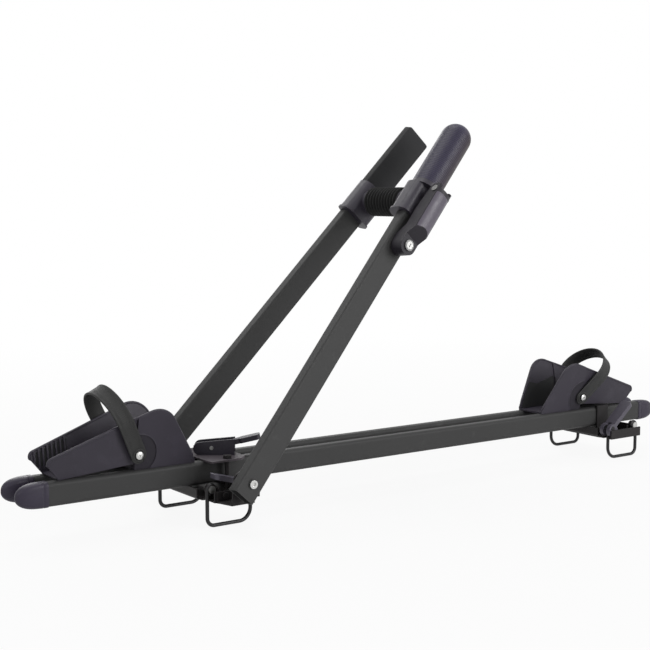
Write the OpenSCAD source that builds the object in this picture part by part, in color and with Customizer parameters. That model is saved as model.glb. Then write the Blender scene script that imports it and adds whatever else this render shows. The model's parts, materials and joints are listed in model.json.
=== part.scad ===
// Roof mounted bike carrier: two parallel rails, a saddle with wire bails on each
// roof bar, a wheel tray with a strap at each end, and two leaning arms that meet
// in a lockable frame clamp. Origin: middle of the front saddle pad's underside.
// +X runs to the rear of the rails, +Y across them, +Z up. Sizes in millimetres.

/* [Rails] */
// Overall length of the rails with their end caps
rail_len = 1350; // [1200:10:1500]
// Height of a rail tube
rail_h = 36; // [28:1:40]
// Width of a rail tube
rail_w = 20; // [16:1:24]
// Corner radius of the rail tubes
rail_r = 6; // [3:0.5:7]
// Wall of the rail tubes
rail_wall = 1.6; // [1.2:0.1:2.5]
// Clear gap between the two rails
rail_gap = 31; // [29:1:36]
// Rail length ahead of the front roof bar
front_overhang = 325; // [315:5:340]
// Part of an end cap that shows
cap_len = 48; // [36:1:60]
// Part of an end cap inside the tube
cap_plug = 28; // [15:1:40]
// How far a cap stands proud of its tube
cap_lip = 0.8; // [0.4:0.1:1.2]

/* [Saddles] */
// Distance between the two roof bars
bar_spacing = 885; // [800:5:900]
// Length of a saddle along the rails
saddle_len = 92; // [88:1:100]
// Height of a saddle channel
saddle_h = 17; // [16:1:24]
// Sheet thickness of the brackets
sheet = 3; // [2.5:0.1:3.5]
// Thickness of the rubber pad on the roof bar
pad_t = 4; // [3:0.5:6]
// Length of the rubber pad along the rails
pad_len = 66; // [50:1:70]
// Width of the flanged middle of a saddle
saddle_mid = 112; // [104:1:114]
// Length of the top plate along the rails
plate_len = 70; // [60:1:76]
// Front edge of the top plate from the roof bar's middle
plate_front = 20; // [14:1:24]
// Diameter of the saddle bolts
bolt_d = 8; // [6:1:8]
// Distance of the saddle bolts from the middle
bolt_y = 46; // [45:0.5:48]

/* [Bails] */
// Wire diameter of the bails
wire_d = 6; // [5:0.5:7]
// Distance between a bail's two legs
bail_w = 77; // [72:1:82]
// Height of the roof bar space in a bail
bar_room = 31; // [25:1:40]
// Distance of the bails from the middle
bail_y = 75; // [74:0.5:76]
// Bend radius at the hook side
bend_small = 12; // [9:0.5:16]
// Bend radius at the lever side
bend_large = 20; // [14:0.5:24]
// Radius of the hook pin that a bail turns on
hook_pin_r = 3.5; // [3:0.1:4]

/* [Bail levers] */
// Radius of the cam
cam_r = 12; // [10:0.5:13]
// Offset of the cam from its pin
cam_off = 4; // [3:0.1:4.5]
// Reach of the lever from its pin
lever_reach = 72; // [64:1:80]
// Width of the lever
lever_w = 24; // [22:1:25]
// Thickness of the lever's handle
lever_t = 8; // [6:0.5:9]
// Rise of the closed handle in degrees
lever_rise = 16; // [14:1:22]
// How far the rear levers stand open in degrees
rear_lever_open = 24; // [0:1:30]
// Radius of the lever's pin
lever_pin_r = 3; // [2.5:0.1:3.5]

/* [Arms] */
// Lean of the arms from upright in degrees
arm_lean = 42; // [34:1:46]
// Toe-in of each arm in degrees
arm_toe = 6.4; // [6:0.1:6.8]
// Width of the arm tubes
arm_w = 40; // [36:1:42]
// Thickness of the arm tubes
arm_t = 20; // [18:1:22]
// Corner radius of the arm tubes
arm_r = 3; // [2.5:0.5:6]
// Wall of the arm tubes
arm_wall = 2; // [1.5:0.1:2.5]
// Arm tube below its pivot
arm_tail = 25; // [20:1:30]
// Arm tube above its pivot
arm_len = 640; // [625:5:655]
// Distance of the arm pivots from the middle
arm_y = 138; // [134:1:144]
// Pivot position behind the front roof bar
arm_x = -3; // [-8:1:0]
// Diameter of the arm pivot bolts
pivot_d = 10; // [8:0.5:12]

/* [Frame clamp] */
// Distance from the near arm's end back to the clamp collars
collar_drop = 114; // [108:1:120]
// Length of the clamp collars along the arms
collar_len = 62; // [58:1:70]
// Width of the clamp collars and jaws
jaw_w = 52; // [48:1:56]
// Reach of the jaws past the collars
jaw_reach = 144; // [130:1:150]
// Radius of the near jaw's round grip
grip_r = 26.5; // [25:0.5:27]
// Distance of the grip's flat jaw face from the arm's middle
grip_flat = 17; // [14:0.5:19]
// Thickness of the jaw pads
jaw_pad_t = 6; // [4:0.5:8]
// Diameter of the draw rod
rod_d = 10; // [8:0.5:12]
// Outer radius of the ribbed sleeve
sleeve_r = 25; // [22:0.5:27]
// Ribs of the sleeve
sleeve_ribs = 11; // [6:1:14]
// Width of the clamp lever
clamp_lever_w = 32; // [31:1:36]
// Distance from the lever's pin to its lock
lock_drop = 110; // [104:1:118]
// Radius of the lock's plug
plug_r = 6.5; // [5:0.1:7]

/* [Wheel trays] */
// Length of a wheel tray
tray_len = 243; // [230:1:255]
// Width of a tray at its floor
tray_floor = 58; // [56:1:60]
// Outward lean of the tray walls, sideways per unit of height
tray_flare = 0.2; // [0.15:0.01:0.22]
// Wall of the trays
tray_wall = 3; // [2.5:0.1:3.5]
// Height of the tray walls at their peak
tray_peak = 90; // [80:1:95]
// Height of the tray walls at the outer end
tray_end = 34; // [28:1:40]
// Rise of the outer trough above the rails
tray_rise = 10; // [8:0.5:11]
// How far the outer end is raked back at the floor
tray_rake = 18; // [10:1:24]
// Thickness of the raised panel on the deep half of a tray
shield_t = 1.0; // [0.8:0.1:2]
// Ribs on each wall at the outer end
tray_ribs = 8; // [4:1:9]

/* [Straps] */
// Width of a wheel strap
strap_w = 26; // [22:1:28]
// Thickness of a wheel strap
strap_t = 3; // [2:0.5:4]
// Height of the strap's arch above its rivets
strap_rise = 108; // [100:1:125]
// Lean of the front strap from upright in degrees
front_strap_lean = 26; // [18:1:30]
// Lean of the rear strap from upright in degrees
rear_strap_lean = 46; // [38:1:50]
// Radius of the strap rivets
rivet_r = 4; // [3:0.1:4.5]

/* [Hidden] */
$fn = 48;
// Gap between pieces that slide or swing past each other
slip = 0.3;
// Radial clearance of the pins in their bores
run = 0.05;
// Overshoot of the cutting shapes
cut = 1;

rail_y = (rail_gap + rail_w) / 2;
rail_side = rail_y + rail_w / 2;
saddle_top = pad_t + saddle_h;
rail_z = saddle_top + rail_h / 2;
rail_top = saddle_top + rail_h;
rail_x0 = -front_overhang;
rail_x1 = rail_len - front_overhang;
cap_band = 8;
nose_steps = 7;
web_top = pad_t + sheet;

leg_r = wire_d / 2;
leg_x = bail_w / 2;
bail_z = -bar_room - leg_r;
eye_r = hook_pin_r + run + leg_r;
eye_x = -leg_x + eye_r;
cam_gap = 0.35;
lever_z = web_top + cam_gap + cam_r + cam_off;
eye_z = lever_z - 1;
fork_half = leg_r + 1 + slip;
tongue_y = bail_y + lever_w / 2 + 4;
tongue_x0 = -leg_x + leg_r + 1;
tongue_x1 = saddle_len / 2;
tab_outer = bail_y - leg_r - slip;
hook_end = bail_y + leg_r + slip;
barrel_eye = lever_pin_r + 3;

foot_reach = arm_y - arm_t / 2 - 6;
foot_len = 58;
foot_x0 = arm_x - foot_len / 2;
foot_toe = 20;
foot_head = 16;
foot_rivet_r = 3;
foot_rivet_z = (web_top + saddle_top) / 2 + 1;
pivot_drop = 17;
pivot_z = rail_top - pivot_drop;
pivot_r = pivot_d / 2;
bush_r = pivot_r + 3;
bush_end = arm_y + arm_t / 2 + 1;

adjust_x = plate_len / 2 - plate_front;
saddle_bolt_x = adjust_x;
plate_half = bolt_y + 12;
plate_top = rail_top + sheet;
plate_back_x = plate_len - plate_front;
plate_chamfer = 16;
adjust_back = -29;
adjust_front = 36;
adjust_round = 10;
adjust_half = 12.5;
adjust_cheek = 4.5;
adjust_base = 2;
adjust_h = 25;
adjust_pin_h = adjust_base + 9;
adjust_hub = 8;
adjust_bar = 8;
adjust_grip = 44;
adjust_reach = 78;
adjust_rise = 13;
adjust_yaw = 35;
adjust_pin_r = 2.5;

toe_cos = cos(arm_toe);
collar_start = arm_len - collar_drop;
collar_r = 14;
collar_rim = 3;
rod_t = collar_start + collar_len / 2 + 5;
rod_r = rod_d / 2;
rod_side = arm_y - rod_t * sin(arm_toe);
rod_x = arm_x + rod_t * toe_cos * sin(arm_lean);
rod_z = pivot_z + rod_t * toe_cos * cos(arm_lean);
collar_end = collar_start + collar_len;
collar_out = arm_t / 2 + 4;
collar_in = 26;
sleeve_end = rod_side - collar_in - 7;
nut_seat = rod_side + collar_out + 4;
rod_near = rod_side + collar_out + 18;
jaw_top = collar_end + jaw_reach;
far_arm_len = collar_end - 4;
plate_back = -4;
plate_face = 6;

lever_pin_t = collar_end - 10;
lever_pin_m = -collar_out - 26;
lever_n = 4;
hinge_r = 13;
lug_r = 7.5;
lug_half = 9;
pin_r = 4;
lever_back = lever_pin_m - hinge_r;
lever_front = -collar_out - 8;
lever_wall = 4;
lever_dome = 6;
lock_t = lever_pin_t - lock_drop;
lock_face = lever_back + 17;
lock_end = 36;
facet_low = 14;
facet_top = 34;
toe_m = -arm_t / 2 - 1.5;
barrel_r = plug_r + 2.5;
barrel_len = 20;

tray_front_end = -plate_front - 14;
tray_rear_end = bar_spacing - 172;
tray_step = 103;
tray_foot = tray_len - tray_rake;
tray_slope = atan(tray_rise / (tray_foot - tray_step));
tray_lip = tray_wall / cos(atan(tray_flare));
peak_u = 71;
peak_r = 34;
tip_r = 8;
rivet_u = tray_step - 3;
rivet_h = 24;
boss_r = 9;
recess_r = 32;
rivet_cap = rivet_r + 1.6;
rivet_seat = tray_floor / 2;
strap_gap = 2.6;
strap_y0 = tray_floor / 2 + rivet_h * tray_flare + strap_gap;
strap_slope = atan(tray_flare);
strap_side = strap_t / cos(strap_slope);
boss_y = strap_y0 - boss_r * tray_flare - slip;
rivet_head = strap_y0 + strap_side + rivet_cap * tray_flare + slip;
strap_arc = (strap_rise + strap_y0 / tray_flare)
    / (cos(strap_slope) / tray_flare + sin(strap_slope) + 1);
strap_join = (strap_arc * cos(strap_slope) - strap_y0) / tray_flare;
strap_centre = strap_join + strap_arc * sin(strap_slope);

// Rectangle with round corners, centred, from squares and circles
module round_rect(w, h, r) {
    square([w - 2 * r, h], center = true);
    square([w, h - 2 * r], center = true);
    for (sx = [-1, 1], sy = [-1, 1])
        translate([sx * (w / 2 - r), sy * (h / 2 - r)])
            circle(r);
}

// Rounded tube standing on the XY plane
module tube(w, h, r, wall, len) {
    difference() {
        linear_extrude(len)
            round_rect(w, h, r);
        translate([0, 0, -cut])
            linear_extrude(len + 2 * cut)
                round_rect(w - 2 * wall, h - 2 * wall, r - wall);
    }
}

// Cylinder along Y from y0 to y1
module bar_y(r, y0, y1) {
    translate([0, y1, 0])
        rotate([90, 0, 0])
            cylinder(r = r, h = y1 - y0);
}

// Plate across Y from y0 to y1 of a 2D shape given in X and Z
module slab_y(y0, y1) {
    translate([0, y1, 0])
        rotate([90, 0, 0])
            linear_extrude(y1 - y0)
                children();
}

// Plate across X from x0 to x1 of a 2D shape given in Y and Z
module slab_x(x0, x1) {
    translate([x0, 0, 0])
        rotate([90, 0, 90])
            linear_extrude(x1 - x0)
                children();
}

// Hexagonal prism on the XY plane
module hex(across, h) {
    cylinder(d = across / cos(30), h = h, $fn = 6);
}

// Leaves a near piece where it is, or puts it on the far side
module side(far) {
    mirror([0, far ? 1 : 0, 0])
        children();
}

// Leaves a front piece where it is, or turns it to the rear roof bar
module at_bar(rear) {
    translate([rear ? bar_spacing : 0, 0, 0])
        mirror([rear ? 1 : 0, 0, 0])
            children();
}

// Frame of the near arm: z along the tube, y towards the middle
module on_arm() {
    translate([arm_x, -arm_y, pivot_z])
        rotate([-arm_toe, arm_lean, 0])
            children();
}

// Frame of the draw rod, whose axis runs along Y
module on_rod() {
    translate([rod_x, 0, rod_z])
        children();
}

// Angle at which the common tangent of two circles touches the first
function tangent(c1, r1, c2, r2, turn) =
    atan2(c2[1] - c1[1], c2[0] - c1[0]) + turn * acos((r1 - r2) / norm(c2 - c1));

// Points of an arc from angle a0 to a1 about c
function arc(c, r, a0, a1, steps = 10) =
    [for (i = [0:steps]) c + r * [cos(a0 + (a1 - a0) * i / steps), sin(a0 + (a1 - a0) * i / steps)]];

module rail() {
    color([0.16, 0.16, 0.16])
        translate([rail_x0 + cap_len, -rail_y, rail_z])
            rotate([90, 0, 90])
                tube(rail_w, rail_h, rail_r, rail_wall, rail_len - 2 * cap_len);
}

// Bullet nosed plug of the front near rail end
module end_cap() {
    shell_w = rail_w + 2 * cap_lip;
    shell_h = rail_h + 2 * cap_lip;
    nose = cap_len - cap_band;
    color([0.1, 0.09, 0.12])
        translate([rail_x0, -rail_y, rail_z]) {
            hull() {
                slab_x(nose, cap_len)
                    round_rect(shell_w, shell_h, rail_r, $fn = 32);
                for (i = [1:nose_steps]) {
                    turn = 86 * i / nose_steps;
                    x = nose * (1 - sin(turn) / sin(86));
                    slab_x(x, x + 0.2)
                        round_rect(shell_w * cos(turn), shell_h * cos(turn),
                            cos(turn) * (rail_r + 0.9 * (shell_w / 2 - rail_r) * sin(turn)), $fn = 32);
                }
            }
            slab_x(cap_len, cap_len + cap_plug)
                round_rect(rail_w - 2 * rail_wall, rail_h - 2 * rail_wall, rail_r - rail_wall);
        }
}

module rear_end_cap() {
    translate([rail_x0 + rail_x1, 0, 0])
        mirror([1, 0, 0])
            end_cap();
}

// Bent channel section, open upwards, with its outer base on the X axis
module channel_shape(w, h, t, r) {
    difference() {
        union() {
            translate([-w / 2, r])
                square([w, h - r]);
            translate([-w / 2 + r, 0])
                square([w - 2 * r, r]);
            for (s = [-1, 1])
                translate([s * (w / 2 - r), r])
                    circle(r);
        }
        translate([-w / 2 + t, r])
            square([w - 2 * t, h]);
        translate([-w / 2 + r, t])
            square([w - 2 * r, h]);
        for (s = [-1, 1])
            translate([s * (w / 2 - r), r])
                circle(r - t);
    }
}

// Pressed channel with flat tongues that carry the bails; top is its flange height,
// and with feet its end flanges are drilled for the arm brackets
module saddle(top, feet) {
    bend = sheet + 2;
    inner_x = saddle_len / 2 - bend;
    mid_y = saddle_mid / 2;
    overlap = 6;
    color([0.13, 0.12, 0.12])
        difference() {
            union() {
                translate([0, 0, pad_t])
                    slab_y(-mid_y, mid_y)
                        channel_shape(saddle_len, top - pad_t, sheet, bend);
                for (far = [false, true])
                    side(far) {
                        translate([0, 0, pad_t])
                            linear_extrude(sheet)
                                polygon([
                                    [tongue_x0, -tongue_y], [tongue_x1, -tongue_y],
                                    [tongue_x1, -mid_y - cut], [inner_x, -mid_y - cut],
                                    [inner_x, -mid_y + overlap], [tongue_x0, -mid_y + overlap]
                                ]);
                        translate([tongue_x0, -tongue_y, pad_t])
                            cube([tongue_x1 - tongue_x0, sheet, saddle_h]);
                        slab_y(-tab_outer, -tab_outer + sheet) {
                            translate([tongue_x0, pad_t])
                                square([2 * eye_r + 4, eye_z - pad_t]);
                            translate([eye_x, eye_z])
                                circle(eye_r + 1.5);
                        }
                    }
            }
            for (far = [false, true])
                side(far) {
                    translate([leg_x - leg_r - 1.5, -bail_y - leg_r - 1, pad_t - cut])
                        cube([tongue_x1, wire_d + 2, sheet + 2 * cut]);
                    translate([eye_x, 0, eye_z])
                        bar_y(hook_pin_r, -bail_y, -mid_y);
                    translate([saddle_bolt_x, -bolt_y, 0])
                        cylinder(d = bolt_d, h = web_top + cut);
                    if (feet)
                        foot_holes();
                }
        }
}

// Drillings that join a foot to the saddle's end flange
module foot_holes() {
    for (s = [-1, 1])
        translate([arm_x + s * foot_len / 4, 0, foot_rivet_z])
            bar_y(foot_rivet_r, -tongue_y - sheet - cut, -tongue_y + sheet + cut);
}

module pad() {
    color([0.06, 0.06, 0.06])
        linear_extrude(pad_t)
            round_rect(pad_len, 2 * bolt_y + 8, 4);
}

module front_top_plate() {
    color([0.17, 0.15, 0.15])
        difference() {
            translate([0, 0, rail_top])
                linear_extrude(sheet)
                    polygon([
                        [-plate_front, -plate_half], [plate_back_x - plate_chamfer, -plate_half],
                        [plate_back_x, -plate_half + plate_chamfer],
                        [plate_back_x, plate_half - plate_chamfer],
                        [plate_back_x - plate_chamfer, plate_half], [-plate_front, plate_half]
                    ]);
            for (s = [-1, 1])
                translate([saddle_bolt_x, s * bolt_y, rail_top - cut])
                    cylinder(d = bolt_d, h = sheet + 2 * cut);
        }
}

module front_saddle_bolts() {
    color([0.75, 0.75, 0.74])
        for (far = [false, true])
            side(far) {
                translate([saddle_bolt_x, -bolt_y, 0]) {
                    translate([0, 0, pad_t])
                        cylinder(d = bolt_d, h = plate_top - pad_t);
                    translate([0, 0, plate_top])
                        hex(1.6 * bolt_d, 0.65 * bolt_d);
                    translate([0, 0, web_top])
                        hex(1.6 * bolt_d, 0.75 * bolt_d);
                }
                for (s = [-1, 1])
                    translate([arm_x + s * foot_len / 4, 0, foot_rivet_z]) {
                        bar_y(foot_rivet_r, -tongue_y - sheet, -tongue_y + sheet);
                        bar_y(foot_rivet_r + 2, -tongue_y - sheet - 2.5, -tongue_y - sheet);
                    }
            }
}

module hook_pins() {
    color([0.45, 0.45, 0.45])
        for (far = [false, true])
            side(far)
                translate([eye_x, 0, eye_z]) {
                    bar_y(hook_pin_r, -hook_end, -tab_outer + sheet);
                    bar_y(hook_pin_r + 2.5, -hook_end - 2, -hook_end);
                }
}

// Wire bail of the front near side: eye, hook leg, bottom, lever leg and its barrel
module bail() {
    color([0.12, 0.12, 0.12])
        translate([0, -bail_y, 0])
            difference() {
                union() {
                    translate([eye_x, 0, eye_z])
                        rotate([90, 0, 0])
                            rotate([0, 0, -130])
                                rotate_extrude(angle = 310)
                                    translate([eye_r, 0])
                                        circle(leg_r);
                    translate([-leg_x, 0, bail_z + bend_small])
                        cylinder(r = leg_r, h = eye_z - bail_z - bend_small);
                    translate([-leg_x + bend_small, 0, bail_z + bend_small])
                        rotate([90, 0, 0])
                            rotate([0, 0, 180])
                                rotate_extrude(angle = 90)
                                    translate([bend_small, 0])
                                        circle(leg_r);
                    translate([-leg_x + bend_small, 0, bail_z])
                        rotate([0, 90, 0])
                            cylinder(r = leg_r, h = bail_w - bend_small - bend_large);
                    translate([leg_x - bend_large, 0, bail_z + bend_large])
                        rotate([90, 0, 0])
                            rotate([0, 0, 270])
                                rotate_extrude(angle = 90)
                                    translate([bend_large, 0])
                                        circle(leg_r);
                    translate([leg_x, 0, bail_z + bend_large])
                        cylinder(r = leg_r, h = lever_z - bail_z - bend_large);
                    translate([leg_x, 0, lever_z])
                        bar_y(barrel_eye, -leg_r - 1, leg_r + 1);
                }
                translate([leg_x, 0, lever_z])
                    bar_y(lever_pin_r + run, -lever_w, lever_w);
            }
}

// Forked cam lever of the front near bail, lifted by an angle about its pin
module bail_lever(lift) {
    half = lever_w / 2;
    color([0.1, 0.09, 0.12])
        translate([leg_x, -bail_y, lever_z])
            rotate([0, lift, 0])
            difference() {
                intersection() {
                    slab_y(-half, half) {
                        translate([0, -cam_off])
                            circle(cam_r);
                        rotate(-lever_rise) {
                            translate([-lever_reach + lever_t / 2, -lever_t / 2])
                                square([lever_reach - lever_t / 2, lever_t]);
                            translate([-lever_reach + lever_t / 2, 0])
                                circle(lever_t / 2);
                        }
                    }
                    translate([-lever_reach / 2 + cam_r, 0, -lever_reach / 2])
                        linear_extrude(lever_reach)
                            round_rect(lever_reach * 1.2, lever_w, 7);
                }
                translate([-10, -fork_half, -lever_reach])
                    cube([lever_reach, 2 * fork_half, 2 * lever_reach]);
                bar_y(lever_pin_r, -lever_w, lever_w);
            }
}

module lever_pin() {
    color([0.6, 0.6, 0.6])
        translate([leg_x, -bail_y, lever_z]) {
            bar_y(lever_pin_r, -lever_w / 2, lever_w / 2);
            for (s = [-1, 1])
                mirror([0, s > 0 ? 1 : 0, 0])
                    bar_y(lever_pin_r + 1.5, -lever_w / 2 - 1, -lever_w / 2);
        }
}

// Bent bracket that carries one arm outside the saddle
module arm_foot() {
    color([0.2, 0.18, 0.18])
        difference() {
            union() {
                translate([foot_x0, -tongue_y - sheet, pad_t])
                    cube([foot_len, sheet, saddle_h]);
                translate([0, 0, pad_t])
                    linear_extrude(sheet)
                        polygon([
                            [foot_x0, -tongue_y], [arm_x - foot_toe, -foot_reach],
                            [arm_x + foot_toe, -foot_reach], [foot_x0 + foot_len, -tongue_y]
                        ]);
                slab_y(-foot_reach, -foot_reach + sheet) {
                    polygon([
                        [arm_x - foot_toe, pad_t], [arm_x + foot_toe, pad_t],
                        [arm_x + foot_head, pivot_z], [arm_x - foot_head, pivot_z]
                    ]);
                    translate([arm_x, pivot_z])
                        circle(foot_head);
                }
            }
            translate([arm_x, 0, pivot_z])
                bar_y(pivot_r, -foot_reach - cut, -foot_reach + sheet + cut);
            foot_holes();
        }
}

module arm_pivot_bolts() {
    color([0.75, 0.75, 0.74])
        for (far = [false, true])
            side(far)
                translate([arm_x, 0, pivot_z]) {
                    bar_y(pivot_r, -bush_end - slip, -foot_reach + sheet);
                    translate([0, -foot_reach + sheet, 0])
                        rotate([-90, 0, 0])
                            hex(1.7 * pivot_d, 0.7 * pivot_d);
                    difference() {
                        bar_y(pivot_r + 1.5, -bush_end - slip - 3, -bush_end - slip);
                        translate([0, -bush_end - slip - 1, 0])
                            rotate([90, 0, 0])
                                hex(0.6 * pivot_d, pivot_d);
                    }
                }
}

// Frame of the height adjuster on the top plate, turned towards the near side
module on_adjuster() {
    translate([adjust_x, 0, plate_top])
        rotate([0, 0, -adjust_yaw])
            children();
}

module adjuster_housing() {
    color([0.1, 0.09, 0.12])
        on_adjuster()
            difference() {
                union() {
                    translate([adjust_back + adjust_round, -adjust_half, 0])
                        cube([adjust_front - adjust_back - adjust_round, 2 * adjust_half, adjust_base]);
                    for (far = [false, true])
                        side(far)
                            slab_y(-adjust_half, -adjust_half + adjust_cheek)
                                polygon(concat(
                                    arc([adjust_back + adjust_round, adjust_round], adjust_round, 270, 97),
                                    [[adjust_front, adjust_h], [adjust_front, 0]]
                                ));
                }
                translate([0, 0, adjust_pin_h])
                    bar_y(adjust_pin_r, -adjust_half - cut, adjust_half + cut);
            }
}

module adjuster_pin() {
    color([0.75, 0.75, 0.74])
        on_adjuster()
            translate([0, 0, adjust_pin_h]) {
                bar_y(adjust_pin_r, -adjust_half, adjust_half);
                for (far = [false, true])
                    side(far)
                        bar_y(adjust_pin_r + 0.8, -adjust_half - 1, -adjust_half);
            }
}

module adjuster_lever() {
    inner = adjust_half - adjust_cheek - slip;
    color([0.1, 0.09, 0.12])
        on_adjuster()
            translate([0, 0, adjust_pin_h])
                difference() {
                    union() {
                        slab_y(-inner, inner) {
                            circle(adjust_hub);
                            rotate(adjust_rise)
                                translate([0, -adjust_bar / 2])
                                    square([adjust_reach - 10, adjust_bar]);
                        }
                        rotate([0, -adjust_rise, 0])
                            translate([(adjust_reach + adjust_grip) / 2, 0, -adjust_bar / 2])
                                linear_extrude(adjust_bar)
                                    round_rect(adjust_reach - adjust_grip, 22, 6);
                    }
                    bar_y(adjust_pin_r + run, -adjust_half, adjust_half);
                }
}

// Side outline of a tray, from its inner end outwards
module tray_outline() {
    tip = [tray_len - tip_r, tray_end - tip_r];
    peak = [peak_u, tray_peak - peak_r];
    nose = [0, 5];
    heel = [tray_foot, 0];
    a_in = tangent(peak, peak_r, nose, 0, -1);
    a_out = tangent(peak, peak_r, tip, tip_r, 1);
    a_end = tangent(tip, tip_r, heel, 0, 1);
    polygon(concat(
        [[0, 0], nose],
        arc(peak, peak_r, a_in + 360, a_out),
        arc(tip, tip_r, a_out, a_end, 8),
        [heel]
    ));
}

// Section of a trough, shrunk inwards by a wall
module trough(wall, lip) {
    half = tray_floor / 2;
    high = tray_peak + 20;
    polygon([
        [-half - wall * tray_flare + lip, wall], [half + wall * tray_flare - lip, wall],
        [half + high * tray_flare - lip, high], [-half - high * tray_flare + lip, high]
    ]);
}

// Outer trough, tilted so that its floor meets the rails at the tip
module on_tip() {
    translate([tray_foot, 0, 0])
        rotate([0, tray_slope, 0])
            children();
}

module tray_core() {
    long = tray_foot - tray_step;
    difference() {
        union() {
            intersection() {
                slab_x(0, tray_step)
                    trough(0, 0);
                slab_y(-tray_peak, tray_peak)
                    tray_outline();
            }
            intersection() {
                on_tip()
                    slab_x(-long - 20, tray_rake + 20)
                        trough(0, 0);
                slab_y(-tray_peak, tray_peak)
                    intersection() {
                        tray_outline();
                        translate([tray_step - 1, 0])
                            square([tray_len, tray_peak + cut]);
                    }
            }
            translate([rivet_u, 0, rivet_h])
                bar_y(boss_r, -boss_y, boss_y);
        }
        slab_x(-cut, tray_step - tray_wall)
            trough(tray_wall, tray_lip);
        on_tip()
            slab_x(-long - 12, tray_rake + 30)
                trough(tray_wall, tray_lip);
        translate([rivet_u, 0, rivet_h]) {
            bar_y(rivet_r, -tray_floor, tray_floor);
            bar_y(rivet_r + 4, -rivet_seat, rivet_seat);
        }
    }
}

// Grip ribs on the inner walls of the outer trough
module tray_grip() {
    intersection() {
        difference() {
            on_tip()
                slab_x(-tray_len / 3, tray_rake + 20)
                    trough(tray_wall, tray_lip - 0.5);
            on_tip()
                slab_x(-tray_len / 2, tray_rake + 40)
                    trough(tray_wall - cut, tray_lip + 2.5);
        }
        slab_y(-tray_peak, tray_peak)
            intersection() {
                tray_outline();
                for (i = [0:tray_ribs - 1])
                    translate([tray_len - 8 - 7 * i, 8])
                        square([2.5, tray_peak]);
            }
    }
}

// Raised panel on the outside of the deep half, open round the strap's end
module tray_shield() {
    difference() {
        intersection() {
            slab_x(0, tray_step)
                trough(0, -shield_t);
            slab_y(-tray_peak, tray_peak)
                difference() {
                    tray_outline();
                    translate([rivet_u, rivet_h])
                        circle(recess_r);
                }
        }
        slab_x(-cut, tray_step + cut)
            trough(-cut, 0.5);
    }
}

module tray() {
    color([0.09, 0.08, 0.1])
        union() {
            tray_core();
            tray_shield();
            tray_grip();
        }
}

module front_tray_place() {
    translate([tray_front_end, 0, rail_top])
        mirror([1, 0, 0])
            children();
}

module rear_tray_place() {
    translate([tray_rear_end, 0, rail_top])
        children();
}

module tray_rivets() {
    color([0.75, 0.75, 0.74])
        translate([rivet_u, 0, rivet_h])
            for (far = [false, true])
                side(far) {
                    bar_y(rivet_r, -rivet_head, -rivet_seat + 2.5);
                    bar_y(rivet_r + 3, -rivet_seat, -rivet_seat + 2.5);
                    difference() {
                        bar_y(rivet_cap, -rivet_head - 2.5, -rivet_head);
                        bar_y(rivet_r * 0.45, -rivet_head - 3, -rivet_head - 1);
                    }
                }
}

// Arch section of a strap for a given outset
module strap_band(out, foot) {
    y0 = strap_y0 + out / cos(strap_slope);
    polygon(concat(
        [[y0 + foot * tray_flare, foot]],
        arc([0, strap_centre], strap_arc + out, -strap_slope, 180 + strap_slope, 36),
        [[-y0 - foot * tray_flare, foot]]
    ));
}

module strap(lean) {
    color([0.14, 0.13, 0.13])
        translate([rivet_u, 0, rivet_h])
            rotate([0, lean, 0])
                difference() {
                    intersection() {
                        slab_x(-strap_w / 2, strap_w / 2)
                            difference() {
                                strap_band(strap_t, -strap_w);
                                strap_band(0, -strap_w - cut);
                            }
                        slab_y(-tray_peak, tray_peak) {
                            circle(strap_w / 2);
                            translate([-strap_w / 2, 0])
                                square([strap_w, strap_rise + 20]);
                        }
                    }
                    bar_y(rivet_r + run, -tray_peak, tray_peak);
                }
}

// Hooked clips that let the rear saddle slide along the rails
module rear_rail_clips() {
    wall_y = rail_side + 0.5;
    lip_z = rail_top + slip;
    color([0.2, 0.18, 0.18])
        for (far = [false, true])
            side(far)
                difference() {
                    slab_x(saddle_bolt_x - 15, saddle_bolt_x + 15)
                        polygon([
                            [-bolt_y - 7, web_top], [-wall_y, web_top],
                            [-wall_y, lip_z], [-wall_y + 4, lip_z],
                            [-wall_y + 4, lip_z + sheet], [-wall_y - sheet, lip_z + sheet],
                            [-wall_y - sheet, web_top + sheet], [-bolt_y - 7, web_top + sheet]
                        ]);
                    translate([saddle_bolt_x, -bolt_y, 0])
                        cylinder(d = bolt_d, h = web_top + sheet + cut);
                }
}

module rear_clip_bolts() {
    color([0.75, 0.75, 0.74])
        for (s = [-1, 1])
            translate([saddle_bolt_x, s * bolt_y, pad_t]) {
                cylinder(d = bolt_d, h = 2 * sheet);
                translate([0, 0, 2 * sheet])
                    hex(1.6 * bolt_d, 0.65 * bolt_d);
            }
}

// Leaning tube of the near side with the bush it turns on
module arm(len) {
    color([0.28, 0.28, 0.28])
        difference() {
            union() {
                on_arm()
                    translate([0, 0, -arm_tail])
                        tube(arm_w, arm_t, arm_r, arm_wall, len + arm_tail);
                translate([arm_x, 0, pivot_z])
                    bar_y(bush_r, -bush_end, -foot_reach - slip);
            }
            translate([arm_x, 0, pivot_z])
                bar_y(pivot_r + run, -bush_end - cut, -foot_reach + cut);
            on_rod()
                bar_y(rod_r + 1, -arm_y, 0);
        }
}

module collar() {
    on_arm()
        translate([0, (collar_in - collar_out) / 2, collar_start]) {
            linear_extrude(collar_len)
                round_rect(jaw_w + 4, collar_in + collar_out, collar_r);
            linear_extrude(collar_rim)
                round_rect(jaw_w + 8, collar_in + collar_out + 4, collar_r + 2);
        }
    on_rod()
        bar_y(sleeve_r - 4, -rod_side + arm_t / 2 + 4, -sleeve_end);
}

module claw_cuts(len) {
    on_arm()
        translate([0, 0, collar_start - cut])
            linear_extrude(len - collar_start + cut)
                round_rect(arm_w, arm_t, arm_r);
    on_rod()
        bar_y(rod_r + run, -arm_y, 0);
}

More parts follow.
